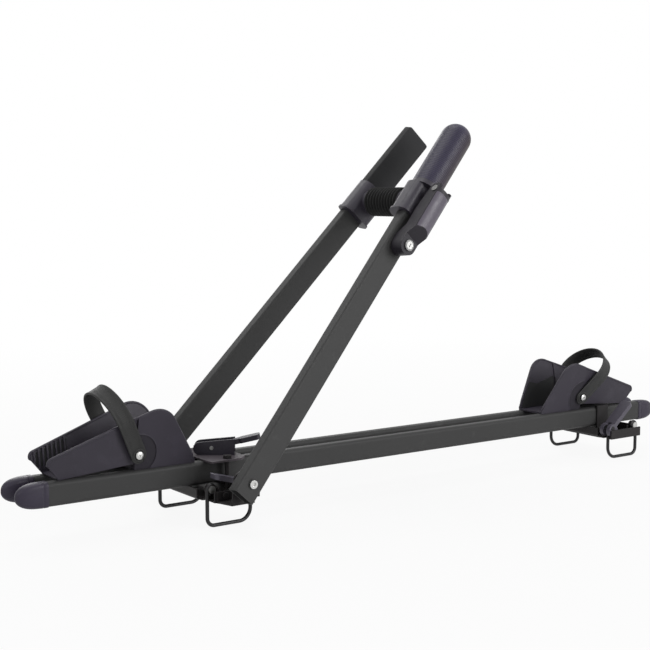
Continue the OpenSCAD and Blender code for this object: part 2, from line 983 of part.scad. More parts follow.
// Near collar with the grip, and the lug that the clamp lever hangs on
module near_claw() {
    grip_h = jaw_reach + 2;
    color([0.12, 0.11, 0.13])
        difference() {
            union() {
                collar();
                on_arm() {
                    difference() {
                        translate([0, 0, collar_end - 2])
                            rotate_extrude()
                                intersection() {
                                    union() {
                                        square([grip_r, grip_h - grip_r]);
                                        translate([0, grip_h - grip_r])
                                            circle(grip_r);
                                    }
                                    square([grip_r, grip_h]);
                                }
                        translate([-jaw_w, grip_flat, collar_end])
                            cube([2 * jaw_w, jaw_w, 2 * jaw_reach]);
                    }
                    slab_x(lever_n - lug_half, lever_n + lug_half) {
                        translate([lever_pin_m, lever_pin_t])
                            circle(lug_r);
                        translate([lever_pin_m, lever_pin_t - lug_r])
                            square([-lever_pin_m - collar_out + 2, 1.8 * lug_r]);
                    }
                }
            }
            claw_cuts(arm_len);
            on_arm()
                translate([0, lever_pin_m, lever_pin_t])
                    rotate([0, 90, 0])
                        cylinder(r = pin_r, h = 2 * jaw_w, center = true);
        }
}

// Far collar with the flat jaw plate, drawn on the near side
module far_claw_shape() {
    far_top = jaw_top - 13;
    color([0.12, 0.11, 0.13])
        difference() {
            union() {
                collar();
                on_arm()
                    slab_y(plate_back, plate_face)
                        translate([0, (collar_end - 6 + far_top) / 2])
                            round_rect(jaw_w, far_top - collar_end + 6, 9);
                on_rod()
                    bar_y(14, -nut_seat, -rod_side);
            }
            claw_cuts(far_arm_len);
        }
}

// Rubber pad, plain or with cross grooves, on a jaw face at m0
module jaw_pad(m0, w, t0, t1, grooved) {
    grooves = floor((t1 - t0 - 8) / 12);
    color([0.07, 0.07, 0.07])
        on_arm()
            difference() {
                translate([0, m0 + jaw_pad_t, (t0 + t1) / 2])
                    rotate([90, 0, 0])
                        linear_extrude(jaw_pad_t)
                            round_rect(w, t1 - t0, 6);
                if (grooved) for (i = [0:grooves])
                    translate([-w, m0 + jaw_pad_t - 2, t0 + 5 + 12 * i])
                        cube([2 * w, 2 + cut, 3]);
            }
}

module near_jaw_pad() {
    jaw_pad(grip_flat, jaw_w - 22, collar_end + 8, jaw_top - 22, true);
}

module far_jaw_pad() {
    side(true)
        jaw_pad(plate_face, jaw_w - 8, collar_end + 6, jaw_top - 17, false);
}

// Dark ribbed sleeve between the collars
module ribbed_sleeve() {
    step = 2 * sleeve_end / sleeve_ribs;
    color([0.05, 0.05, 0.05])
        on_rod()
            rotate([90, 0, 0])
                rotate_extrude()
                    polygon(concat(
                        [[rod_r + 2, -sleeve_end]],
                        [for (i = [0:sleeve_ribs - 1], k = [0:3])
                            [sleeve_r - (k == 0 || k == 3 ? 4 : 0),
                                -sleeve_end + step * (i + [0, 0.25, 0.75, 1][k])]],
                        [[rod_r + 2, sleeve_end]]
                    ));
}

module clamp_lever_pin() {
    color([0.75, 0.75, 0.74])
        on_arm()
            translate([lever_n, lever_pin_m, lever_pin_t])
                rotate([0, 90, 0]) {
                    cylinder(r = pin_r, h = clamp_lever_w + 2 * slip, center = true);
                    for (s = [-1, 1])
                        translate([0, 0, s * (clamp_lever_w / 2 + slip + 0.75)])
                            cylinder(r = pin_r + 2, h = 1.5, center = true);
                }
}

// Rod that draws the two jaws together, with a pull block inside the lever
module draw_rod() {
    color([0.6, 0.6, 0.6])
        on_rod() {
            bar_y(rod_r, -rod_near, nut_seat + 14);
            bar_y(rod_r + 1.5, -rod_near, -rod_near + 10);
        }
}

module draw_rod_nut() {
    color([0.75, 0.75, 0.74])
        on_rod()
            difference() {
                bar_y(12, nut_seat + slip, nut_seat + slip + 10);
                bar_y(rod_r, nut_seat, nut_seat + 20);
            }
}

// Hollow lever with a domed back, stepped in to a round lock boss at its low end
module clamp_lever() {
    half = clamp_lever_w / 2;
    low = lock_t - half;
    inner = half - lever_wall;
    dome_r = (half * half + lever_dome * lever_dome) / (2 * lever_dome);
    color([0.1, 0.09, 0.12])
        on_arm()
            translate([lever_n, 0, 0])
                difference() {
                    intersection() {
                        slab_x(-half, half)
                            polygon(concat(
                                [[lock_face, low], [lock_face, lock_t + facet_low],
                                    [lever_back, lock_t + facet_top]],
                                arc([lever_pin_m, lever_pin_t], hinge_r, 180, 0, 16),
                                [[lever_front, lever_pin_t - 40], [lever_front, lock_t + facet_top],
                                    [toe_m, lock_t + facet_low], [toe_m, low]]
                            ));
                        translate([0, 0, low - cut])
                            linear_extrude(lock_drop + half + 2 * hinge_r) {
                                intersection() {
                                    translate([0, lever_back + dome_r])
                                        circle(dome_r);
                                    translate([-half, lever_back])
                                        square([2 * half, lever_dome + 2]);
                                }
                                translate([-half, lever_back + lever_dome])
                                    square([2 * half, -lever_back]);
                            }
                        slab_y(2 * lever_back, 0) {
                            translate([0, lock_t])
                                circle(half);
                            translate([-half, lock_t])
                                square([2 * half, lock_drop + 2 * hinge_r]);
                        }
                    }
                    slab_x(-inner, inner) {
                        translate([lever_back + lever_wall + 1, lock_t + lock_end])
                            square([2 * hinge_r + 20, lock_drop + hinge_r]);
                        translate([lever_back - cut, lever_pin_t + 3])
                            square([2 * hinge_r + 20, 2 * hinge_r]);
                    }
                    translate([0, lever_pin_m, lever_pin_t])
                        rotate([0, 90, 0])
                            cylinder(r = pin_r + run, h = 2 * clamp_lever_w, center = true);
                    translate([0, 0, lock_t])
                        bar_y(barrel_r, lock_face - cut, lock_face + barrel_len - 3);
                }
}

module on_lock() {
    on_arm()
        translate([lever_n, lock_face, lock_t])
            children();
}

module lock_barrel() {
    color([0.8, 0.8, 0.79])
        on_lock()
            difference() {
                bar_y(barrel_r, -3, barrel_len - 3);
                bar_y(plug_r + run, -4, barrel_len - 6);
            }
}

module lock_plug() {
    color([0.65, 0.65, 0.64])
        on_lock()
            difference() {
                bar_y(plug_r, -3.6, barrel_len - 6 - slip);
                translate([-0.7, -5, -plug_r * 0.6])
                    cube([1.4, 8, plug_r * 1.2]);
            }
}

rail();  // near_rail
side(true) rail();  // far_rail
end_cap();  // front_near_end_cap
side(true) end_cap();  // front_far_end_cap
rear_end_cap();  // rear_near_end_cap
side(true) rear_end_cap();  // rear_far_end_cap
saddle(saddle_top, true);  // front_saddle
pad();  // front_pad
front_top_plate();
front_saddle_bolts();
hook_pins();  // front_hook_pins
arm_foot();  // near_arm_foot
side(true) arm_foot();  // far_arm_foot
arm_pivot_bolts();
adjuster_housing();
adjuster_pin();
adjuster_lever();
front_tray_place() tray();  // front_tray
front_tray_place() tray_rivets();  // front_tray_rivets
front_tray_place() strap(front_strap_lean);  // front_strap
rear_tray_place() tray();  // rear_tray
rear_tray_place() tray_rivets();  // rear_tray_rivets
rear_tray_place() strap(rear_strap_lean);  // rear_strap
at_bar(true) saddle(saddle_top - slip, false);  // rear_saddle
at_bar(true) pad();  // rear_pad
at_bar(true) rear_rail_clips();
at_bar(true) rear_clip_bolts();
at_bar(true) hook_pins();  // rear_hook_pins
bail();  // front_near_bail
side(true) bail();  // front_far_bail
at_bar(true) bail();  // rear_near_bail
at_bar(true) side(true) bail();  // rear_far_bail
bail_lever(0);  // front_near_bail_lever
side(true) bail_lever(0);  // front_far_bail_lever
at_bar(true) bail_lever(rear_lever_open);  // rear_near_bail_lever
at_bar(true) side(true) bail_lever(rear_lever_open);  // rear_far_bail_lever
lever_pin();  // front_near_lever_pin
side(true) lever_pin();  // front_far_lever_pin
at_bar(true) lever_pin();  // rear_near_lever_pin
at_bar(true) side(true) lever_pin();  // rear_far_lever_pin
arm(arm_len);  // near_arm
side(true) arm(far_arm_len);  // far_arm
near_claw();
side(true) far_claw_shape();  // far_claw
near_jaw_pad();
far_jaw_pad();
ribbed_sleeve();
clamp_lever_pin();
draw_rod();
draw_rod_nut();
clamp_lever();
lock_barrel();
lock_plug();
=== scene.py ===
"""Looks of the roof mounted bike carrier: its finishes, eased edges, rubber and thin trim."""

import json
import math

import bmesh
import bpy
from mathutils import Matrix, Vector

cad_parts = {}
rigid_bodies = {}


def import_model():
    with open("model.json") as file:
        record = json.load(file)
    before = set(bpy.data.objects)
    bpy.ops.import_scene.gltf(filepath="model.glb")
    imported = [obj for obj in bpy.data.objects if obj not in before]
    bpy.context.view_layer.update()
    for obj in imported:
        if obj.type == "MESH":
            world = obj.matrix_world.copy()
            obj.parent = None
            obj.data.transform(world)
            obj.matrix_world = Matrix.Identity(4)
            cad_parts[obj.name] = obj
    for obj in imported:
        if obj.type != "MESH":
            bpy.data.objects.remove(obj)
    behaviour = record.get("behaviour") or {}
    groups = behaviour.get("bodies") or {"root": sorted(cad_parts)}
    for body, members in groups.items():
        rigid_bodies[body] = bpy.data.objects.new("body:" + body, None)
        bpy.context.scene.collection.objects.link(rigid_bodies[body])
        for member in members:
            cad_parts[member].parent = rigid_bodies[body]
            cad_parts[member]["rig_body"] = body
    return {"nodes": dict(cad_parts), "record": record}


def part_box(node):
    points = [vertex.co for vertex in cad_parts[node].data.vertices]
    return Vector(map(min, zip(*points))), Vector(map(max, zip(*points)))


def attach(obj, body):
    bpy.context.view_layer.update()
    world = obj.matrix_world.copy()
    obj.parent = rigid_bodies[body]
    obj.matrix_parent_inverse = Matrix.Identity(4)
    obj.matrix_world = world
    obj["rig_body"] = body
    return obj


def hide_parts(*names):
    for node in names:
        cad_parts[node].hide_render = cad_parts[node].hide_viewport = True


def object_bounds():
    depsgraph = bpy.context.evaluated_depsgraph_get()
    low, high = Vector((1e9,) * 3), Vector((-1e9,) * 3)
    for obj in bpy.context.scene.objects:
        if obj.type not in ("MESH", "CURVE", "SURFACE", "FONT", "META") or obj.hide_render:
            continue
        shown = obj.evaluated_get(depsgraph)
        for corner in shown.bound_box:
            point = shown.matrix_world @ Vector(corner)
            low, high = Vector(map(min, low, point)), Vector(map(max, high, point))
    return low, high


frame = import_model()
solid_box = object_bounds()
scene = bpy.context.scene

MM = 0.001
ENDS = (("front", -1), ("rear", 1))
SIDES = (("near", -1), ("far", 1))
JOINTS = {joint["name"]: joint for joint in frame["record"]["behaviour"]["joints"]}


def pivot_of(joint):
    return Vector(JOINTS[joint]["pos_m"])


def axis_of(joint):
    return Vector(JOINTS[joint]["axis"])


def body_of(node):
    """The body that a solid rides."""
    return frame["nodes"][node]["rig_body"]


def corners(node):
    """Lowest and highest corner of a solid."""
    return [Vector(corner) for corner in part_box(node)]


def angles(steps):
    """Equal steps once round a circle."""
    return [2 * math.pi * i / steps for i in range(steps)]


# Finishes

class Value:
    """What a socket carries. Plain arithmetic on it adds Math nodes."""

    def __init__(self, recipe, socket):
        self.recipe = recipe
        self.socket = socket

    def out(self, name):
        """Another output of the same node."""
        return Value(self.recipe, self.socket.node.outputs[name])

    def math(self, operation, first, second=0.0):
        return self.recipe.node("ShaderNodeMath", {"operation": operation}, {0: first, 1: second})

    def __add__(self, other):
        return self.math("ADD", self, other)

    def __radd__(self, other):
        return self.math("ADD", other, self)

    def __sub__(self, other):
        return self.math("SUBTRACT", self, other)

    def __rsub__(self, other):
        return self.math("SUBTRACT", other, self)

    def __mul__(self, other):
        return self.math("MULTIPLY", self, other)

    def __rmul__(self, other):
        return self.math("MULTIPLY", other, self)

    def __truediv__(self, other):
        return self.math("DIVIDE", self, other)

    def __pow__(self, other):
        return self.math("POWER", self, other)

    def __abs__(self):
        return self.math("ABSOLUTE", self)

    def sine(self):
        return self.math("SINE", self)

    def least(self, other):
        return self.math("MINIMUM", self, other)

    def most(self, other):
        return self.math("MAXIMUM", self, other)

    def above(self, edge, soft):
        """0 below the edge and 1 above it, with a soft step between."""
        return self.recipe.node("ShaderNodeClamp", sockets={"Value": (self - edge) / soft + 0.5})


class Recipe:
    """A tree of nodes, written as a short recipe."""

    def __init__(self, tree):
        self.tree = tree

    def node(self, kind, settings=None, sockets=None, out=0):
        """Adds a node: its settings first, then the value or link of each socket."""
        made = self.tree.nodes.new(kind)
        for key, value in (settings or {}).items():
            setattr(made, key, value)
        for key, value in (sockets or {}).items():
            self.feed(made.inputs[key], value)
        return Value(self, made.outputs[out]) if made.outputs else None

    def feed(self, socket, value):
        if isinstance(value, Value):
            self.tree.links.new(value.socket, socket)
        else:
            socket.default_value = value

    def vector(self, operation, first, second, out=0):
        return self.node("ShaderNodeVectorMath", {"operation": operation},
                         {0: first, 1: second}, out)

    def white_when_seen(self, plain, white):
        """White to the camera and in reflections, plain to the light that bounces."""
        rays = self.node("ShaderNodeLightPath", out="Is Camera Ray")
        seen = rays.most(rays.out("Is Glossy Ray").most(rays.out("Is Transmission Ray")))
        return self.node("ShaderNodeMixShader", sockets={0: seen, 1: plain, 2: white})


class Finish(Recipe):
    """A surface finish."""

    # Places of the colour sockets on a Mix node
    MIX_LOW, MIX_HIGH, MIX_RESULT = 6, 7, 2

    def __init__(self, name):
        self.material = bpy.data.materials.new(name)
        self.material.use_nodes = True
        super().__init__(self.material.node_tree)

    def place(self, stretch=(1, 1, 1)):
        """Place on the piece, in metres."""
        here = self.node("ShaderNodeTexCoord", out="Object")
        return self.node("ShaderNodeMapping", sockets={"Vector": here, "Scale": stretch})

    def noise(self, place, scale, detail, rough=0.55):
        return self.node("ShaderNodeTexNoise", sockets={
            "Vector": place, "Scale": scale, "Detail": detail, "Roughness": rough})

    def cells(self, place, scale):
        return self.node("ShaderNodeTexVoronoi", sockets={"Vector": place, "Scale": scale},
                         out="Distance")

    def colours(self, factor, low, high):
        """Runs from the low to the high colour."""
        low, high = (value if isinstance(value, Value) else (*value, 1) for value in (low, high))
        return self.node("ShaderNodeMix", {"data_type": "RGBA"},
                         {"Factor": factor, self.MIX_LOW: low, self.MIX_HIGH: high},
                         self.MIX_RESULT)

    def bump(self, height, depth, strength):
        return self.node("ShaderNodeBump", sockets={
            "Height": height, "Distance": depth, "Strength": strength})

    def set(self, **sockets):
        shader = self.tree.nodes["Principled BSDF"]
        for key, value in sockets.items():
            self.feed(shader.inputs[key.replace("_", " ")], value)
        return self.material


def shade(red, green, blue):
    """A colour given as it looks on the screen, 0 to 255."""
    return tuple(((c / 255 + 0.055) / 1.055) ** 2.4 if c > 10 else c / 255 / 12.92
                 for c in (red, green, blue))


def times(colour, share):
    """A lighter or darker colour."""
    return tuple(min(1, c * share) for c in colour)


def powder_coat(name, low, high, rough):
    """Baked powder paint: a fine orange-peel skin, a faint cloudy tone and rubbed spots."""
    coat = Finish(name)
    here = coat.place()
    peel = coat.noise(here, scale=1500, detail=2)
    cloud = coat.noise(here, scale=9, detail=4)
    rubbed = coat.noise(here, scale=46, detail=6, rough=0.7).above(0.66, soft=0.1)
    tone = coat.colours(cloud, low, high)
    return coat.set(
        Base_Color=coat.colours(rubbed * 0.25, tone, times(high, 1.7)),
        Roughness=rough + 0.14 * cloud - 0.06 * peel,
        Normal=coat.bump(peel, depth=0.05 * MM, strength=0.55),
        Specular_IOR_Level=0.22)


def moulded(name, low, high, rough, gloss=0.3, flow_scale=16, rub_scale=30, recess=None):
    """Spark-grained moulded plastic, lightly polished where hands rub it. A recess is a mask of
    where the colour is painted darker, as painted shade, and the skin is rougher and coarser."""
    coat = Finish(name)
    here = coat.place()
    grain = coat.noise(here, scale=1900, detail=3, rough=0.65)
    pits = coat.cells(here, scale=1300)
    flow = coat.noise(here, scale=flow_scale, detail=4)
    rubbed = coat.noise(here, scale=rub_scale, detail=5, rough=0.65).above(0.6, soft=0.16)
    tone = coat.colours(flow, low, high)
    colour = coat.colours(rubbed * 0.3, tone, times(high, 1.5))
    roughness = rough + 0.12 * flow - 0.1 * rubbed
    height = grain + 0.5 * pits
    if recess:
        # Painted shade: the colour is darkened in the recess, standing in for the shade that falls
        # there; the rougher, coarser skin is real
        dark = recess(coat, here)
        colour = coat.colours(dark * 0.62, colour, times(low, 0.3))
        roughness = roughness + 0.16 * dark
        height = height + 0.8 * dark * pits
    return coat.set(
        Base_Color=colour,
        Roughness=roughness,
        Normal=coat.bump(height, depth=0.06 * MM, strength=0.6),
        Specular_IOR_Level=gloss)


RECESS = 32 * MM
# How far the painted shade reaches in each recess, and its margin along the tray
RECESS_SHADE = RECESS - 0.8 * MM
RECESS_SIDE = 3 * MM


def strap_recess_shade(coat, here):
    """Painted shade mask: 1 in the recess round each strap's end, on the tray's inner side, and 0
    elsewhere.
    """
    front, rear = (pivot_of(end + "_strap_swing") for end, out in ENDS)
    flat = coat.vector("MULTIPLY", here, (1, 0, 1))
    away = [coat.vector("DISTANCE", flat, (pivot.x, 0, pivot.z), "Value")
            for pivot in (front, rear)]
    along = coat.node("ShaderNodeSeparateXYZ", sockets={0: here}, out="X")
    inner = along.above(front.x - RECESS_SIDE, soft=0.6 * MM)
    inner = inner * (1 - along.above(rear.x + RECESS_SIDE, soft=0.6 * MM))
    return (1 - away[0].least(away[1]).above(RECESS_SHADE, soft=1.2 * MM)) * inner


def sheen_tinted_grip(name, across, middle, cool, warm):
    """Moulded grip whose tint runs from cool to warm across its round: painted sheen, one tint on
    each side as the light falls on it.
    """
    coat = Finish(name)
    here = coat.place()
    side = coat.vector("DOT_PRODUCT", here, tuple(across), "Value") - middle
    grain = coat.noise(here, scale=1900, detail=3, rough=0.65)
    flow = coat.noise(here, scale=24, detail=4)
    # Painted sheen: which side of the grip a point lies on picks the cool or the warm tint
    turn = (side + 12 * MM * (flow - 0.5)).above(4 * MM, soft=30 * MM)
    return coat.set(
        Base_Color=coat.colours(turn, cool, warm),
        Roughness=0.36 + 0.12 * flow,
        Normal=coat.bump(grain, depth=0.05 * MM, strength=0.5),
        Specular_IOR_Level=0.3)


def soft_rubber(name, low, high):
    """Matt black rubber with a dusty bloom."""
    coat = Finish(name)
    here = coat.place()
    grain = coat.noise(here, scale=2400, detail=3, rough=0.7)
    bloom = coat.noise(here, scale=34, detail=5)
    return coat.set(
        Base_Color=coat.colours(bloom, low, high),
        Roughness=0.66 + 0.18 * bloom,
        Normal=coat.bump(grain, depth=0.07 * MM, strength=0.6),
        Specular_IOR_Level=0.3)


# Outer face of a strap, as shares of the way round its section, and its half width
FACE_MIDDLE = 7 / 24
FACE_HALF = 1 / 24
FACE_REACH = 9.4 * MM
# Ribs of a strap, in radians per metre
CROSSED_RIBS = 2600
PLAIN_RIBS = 2100


def strap_webbing(name, low, high):
    """Flexible strap with two bands of fine crossed ribs beside its beads, and plain cross ribs
    between them. Its own map runs along it in metres and round its section from 0 to 1."""
    coat = Finish(name)
    run = coat.node("ShaderNodeSeparateXYZ", sockets={0: coat.node("ShaderNodeUVMap")}, out="X")
    across = (run.out("Y") - FACE_MIDDLE) / FACE_HALF
    outer = 1 - abs(across).above(0.97, soft=0.06)
    bands = abs(across).above(0.52, soft=0.06) * outer
    aside = across * FACE_REACH
    crossed = ((run + aside) * CROSSED_RIBS).sine() * ((run - aside) * CROSSED_RIBS).sine()
    ribs = bands * crossed + 0.45 * (outer - bands) * (run * PLAIN_RIBS).sine()
    here = coat.place()
    grain = coat.noise(here, scale=1700, detail=3)
    worn = coat.noise(here, scale=40, detail=5)
    tone = coat.colours(worn, low, high)
    # Painted shade: the colour darkens in the grooves between the ribs, where the bump is low; the
    # ribs themselves are real relief
    return coat.set(
        Base_Color=coat.colours(0.5 + 0.5 * ribs, times(low, 0.72), tone),
        Roughness=0.55 + 0.2 * worn - 0.06 * ribs,
        Normal=coat.bump(ribs * 0.6 + grain * 0.25, depth=0.4 * MM, strength=0.8),
        Specular_IOR_Level=0.35)


def bright_plating(name, low, high, rough):
    """Plated steel with fine machining lines and a few dull spots."""
    coat = Finish(name)
    lines = coat.noise(coat.place(stretch=(1, 1, 22)), scale=420, detail=2)
    spots = coat.noise(coat.place(), scale=260, detail=4).above(0.62, soft=0.12)
    tone = coat.colours(lines, low, high)
    return coat.set(
        Base_Color=coat.colours(spots * 0.4, tone, times(low, 0.55)),
        Metallic=1.0,
        Roughness=rough + 0.12 * lines + 0.2 * spots,
        Normal=coat.bump(lines, depth=0.03 * MM, strength=0.35))


def dark_wire(name, low, high):
    """Drawn wire in a thin black coat, with a low gloss."""
    coat = Finish(name)
    here = coat.place()
    skin = coat.noise(here, scale=900, detail=3)
    bare = coat.noise(here, scale=120, detail=5, rough=0.7).above(0.68, soft=0.08)
    return coat.set(
        Base_Color=coat.colours(bare * 0.5, low, high),
        Metallic=0.35,
        Roughness=0.36 + 0.2 * skin,
        Normal=coat.bump(skin, depth=0.04 * MM, strength=0.4))


arm_coat = powder_coat("grey_powder_coat", shade(54, 54, 54), shade(62, 62, 62), rough=0.52)
rail_coat = powder_coat("dark_powder_coat", shade(52, 52, 52), shade(60, 60, 60), rough=0.52)
# Two copies of one coated steel: the brackets' coat is painted darker, as painted shade for their
# shadowed undersides, and the top plate's coat lighter, as painted light on its lit top face
bracket_coat = powder_coat("bracket_coat", shade(28, 26, 27), shade(38, 35, 36), rough=0.45)
plate_coat = powder_coat("plate_coat", shade(72, 67, 72), shade(84, 78, 83), rough=0.5)
cap_plastic = moulded("cap_plastic", shade(42, 38, 51), shade(52, 47, 61), rough=0.42)
# The trays' plastic is painted darker in the recesses round the straps' ends, as painted shade
tray_plastic = moulded("tray_plastic", shade(42, 39, 47), shade(54, 50, 60), rough=0.46,
                       flow_scale=14, rub_scale=26, recess=strap_recess_shade)
claw_plastic = moulded("claw_plastic", shade(40, 37, 46), shade(54, 50, 60), rough=0.38, gloss=0.4)
lever_plastic = moulded("lever_plastic", shade(28, 26, 31), shade(38, 35, 42), rough=0.42)
dome_plastic = moulded("dome_plastic", shade(74, 70, 80), shade(90, 84, 96), rough=0.36, gloss=0.45)
bail_lever_plastic = moulded("bail_lever_plastic", shade(70, 67, 77), shade(86, 82, 93),
                             rough=0.4, gloss=0.4)
adjuster_plastic = moulded("adjuster_plastic", shade(30, 27, 36), shade(42, 38, 48), rough=0.42)
pad_rubber = soft_rubber("pad_rubber", shade(32, 32, 33), shade(42, 42, 43))
paddle_rubber = soft_rubber("paddle_rubber", shade(38, 38, 39), shade(46, 46, 48))
sleeve_rubber = soft_rubber("sleeve_rubber", shade(12, 12, 12), shade(19, 19, 19))
strap_rubber = strap_webbing("strap_rubber", shade(38, 38, 38), shade(48, 48, 47))
zinc = bright_plating("zinc_plating", shade(176, 176, 174), shade(206, 206, 204), rough=0.26)
dull_steel = bright_plating("dull_steel", shade(104, 104, 104), shade(134, 134, 133), rough=0.36)
lock_chrome = bright_plating("lock_chrome", shade(140, 140, 140), shade(170, 170, 169), rough=0.28)
wire_coat = dark_wire("wire_coat", shade(24, 23, 25), shade(60, 58, 62))


# Camera, light and floor

CAMERA_AT = (-1.0197, -1.7530, 0.4709)
CAMERA_TURN = (math.pi / 2 - 0.1015, 0, -0.6212)
CAMERA_LENS = 72
CAMERA_SENSOR = 36
STAGE_MIDDLE = (0.35, 0, 0.2)
SKY_STRENGTH = 0.16
FLOOR_GREY = 0.72
FLOOR_REACH = 14
FLOOR_DROP = 0.001
# Share of the floor that shows plain white, near the carrier and more of it far off
FLOOR_WHITE = 0.9
FLOOR_FADE = (1.2, 2.4)
# Each lamp's place, width and power
LAMPS = {
    "key": ((1.5, -2.9, 1.2), 2.0, 68),
    "fill": ((-2.6, -1.2, 1.5), 1.6, 18),
    "over": ((0.3, 0.5, 2.8), 2.0, 30),
    "back": ((0.9, 2.9, 1.3), 2.0, 26),
}


def photo_camera():
    camera = bpy.data.cameras.new("camera")
    camera.lens = CAMERA_LENS
    camera.sensor_width = CAMERA_SENSOR
    camera.clip_start = 0.05
    seen = bpy.data.objects.new("camera", camera)
    seen.location = CAMERA_AT
    seen.rotation_euler = CAMERA_TURN
    scene.collection.objects.link(seen)
    scene.camera = seen


def soft_lamp(name, place, size, power):
    lamp = bpy.data.lights.new(name, "AREA")
    lamp.shape = "DISK"
    lamp.size = size
    lamp.energy = power
    holder = bpy.data.objects.new(name, lamp)
    holder.location = place
    toward = Vector(STAGE_MIDDLE) - Vector(place)
    holder.rotation_euler = toward.to_track_quat("-Z", "Y").to_euler()
    scene.collection.objects.link(holder)


def pale_sky():
    world = bpy.data.worlds.new("studio")
    scene.world = world
    world.use_nodes = True
    sky = Recipe(world.node_tree)
    sky.tree.nodes.clear()
    dim, white = (sky.node("ShaderNodeBackground",
                           sockets={"Color": (1, 1, 1, 1), "Strength": strength})
                  for strength in (SKY_STRENGTH, 1.0))
    sky.node("ShaderNodeOutputWorld", sockets={"Surface": sky.white_when_seen(dim, white)})


def pale_floor(height):
    mesh = bpy.data.meshes.new("floor")
    mesh.from_pydata([(x * FLOOR_REACH, y * FLOOR_REACH, height)
                      for x, y in ((-1, -1), (1, -1), (1, 1), (-1, 1))], [], [(0, 1, 2, 3)])
    floor = bpy.data.objects.new("floor", mesh)
    scene.collection.objects.link(floor)
    paint = Finish("floor_paint")
    matt = paint.node("ShaderNodeBsdfDiffuse", sockets={"Color": (*[FLOOR_GREY] * 3, 1)})
    glow = paint.node("ShaderNodeEmission", sockets={"Strength": 1.0})
    far = paint.vector("DISTANCE", paint.place(), (*STAGE_MIDDLE[:2], height), "Value")
    edge, soft = FLOOR_FADE
    share = FLOOR_WHITE + (1 - FLOOR_WHITE) * far.above(edge, soft)
    pale = paint.node("ShaderNodeMixShader", sockets={0: share, 1: matt, 2: glow})
    surface = paint.tree.nodes["Material Output"].inputs["Surface"]
    paint.feed(surface, paint.white_when_seen(matt, pale))
    mesh.materials.append(paint.material)


scene.view_settings.view_transform = "Standard"
photo_camera()
pale_sky()
pale_floor(solid_box[0][2] - FLOOR_DROP)
for lamp, (place, size, power) in LAMPS.items():
    soft_lamp(lamp, place, size, power)


# Ways of making a piece

SAME_POINT = 2e-6
FLAT_ENOUGH = math.radians(1.2)
HARD_EDGE = math.radians(38)


def finished(piece, body, coat, slot, *nodes):
    """Puts a finished piece on its body, in its coat, in place of the plain solids."""
    piece.data.materials.clear()
    piece.data.materials.append(coat)
    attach(piece, body)
    if nodes:
        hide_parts(*nodes)


def smoothed(mesh, sharp):
    """Smooth faces, with edges sharper than an angle in degrees kept."""
    for face in mesh.polygons:
        face.use_smooth = True
    mesh.set_sharp_from_angle(angle=math.radians(sharp))


def new_piece(name, form, sharp=34):
    mesh = bpy.data.meshes.new(name)
    form.to_mesh(mesh)
    form.free()
    smoothed(mesh, sharp)
    piece = bpy.data.objects.new(name, mesh)
    scene.collection.objects.link(piece)
    return piece


def settled(piece):
    """Keeps what the modifiers give as the piece's own mesh."""
    seen = bpy.context.evaluated_depsgraph_get()
    mesh = bpy.data.meshes.new_from_object(piece.evaluated_get(seen))
    plain = piece.data
    piece.modifiers.clear()
    piece.data = mesh
    bpy.data.meshes.remove(plain)
    return piece


def eased(node, coat, slot, width, segments=2, merged=True):
    """The node's own solid with its hard edges eased, as pressing and moulding leave them."""
    form = bmesh.new()
    form.from_mesh(frame["nodes"][node].data)
    bmesh.ops.remove_doubles(form, verts=form.verts, dist=SAME_POINT)
    if merged:
        bmesh.ops.dissolve_limit(form, angle_limit=FLAT_ENOUGH,
                                 verts=form.verts, edges=form.edges)
    piece = new_piece(node + "_eased", form)
    ease = piece.modifiers.new("ease", "BEVEL")
    ease.width = width
    ease.segments = segments
    ease.limit_method = "ANGLE"
    ease.angle_limit = HARD_EDGE
    ease.use_clamp_overlap = True
    even = piece.modifiers.new("even", "WEIGHTED_NORMAL")
    even.keep_sharp = True
    finished(settled(piece), body_of(node), coat, slot, node)


def turned(name, outline, steps=40):
    """A turned form: radius and height pairs spun about Z, from the axis out and back to it."""
    form = bmesh.new()
    rings = []
    for radius, height in outline:
        spots = [(radius * math.cos(a), radius * math.sin(a), height) for a in angles(steps)]
        rings.append([form.verts.new(spot) for spot in (spots if radius else spots[:1])])
    for low, high in zip(rings, rings[1:]):
        for i in range(steps):
            j = (i + 1) % steps
            around = [low[i % len(low)], low[j % len(low)],
                      high[j % len(high)], high[i % len(high)]]
            form.faces.new(list(dict.fromkeys(around)))
    bmesh.ops.recalc_face_normals(form, faces=form.faces)
    return new_piece(name, form)


def lofted(name, rings, runs=None, sharp=40):
    """A skin over closed rings of points, capped at both ends. runs gives how far along the piece
    each ring lies, for the piece's own map."""
    form = bmesh.new()
    own_map = form.loops.layers.uv.new("UVMap")
    rows = [[form.verts.new(point) for point in ring] for ring in rings]
    count = len(rings[0])
    for k, (low, high) in enumerate(zip(rows, rows[1:])):
        for i in range(count):
            j = (i + 1) % count
            face = form.faces.new((low[i], low[j], high[j], high[i]))
            if runs:
                start, end = i / count, (i + 1) / count
                spots = ((runs[k], start), (runs[k], end), (runs[k + 1], end), (runs[k + 1], start))
                for loop, spot in zip(face.loops, spots):
                    loop[own_map].uv = spot
    form.faces.new(rows[0])
    form.faces.new(rows[-1])
    bmesh.ops.recalc_face_normals(form, faces=form.faces)
    return new_piece(name, form, sharp)


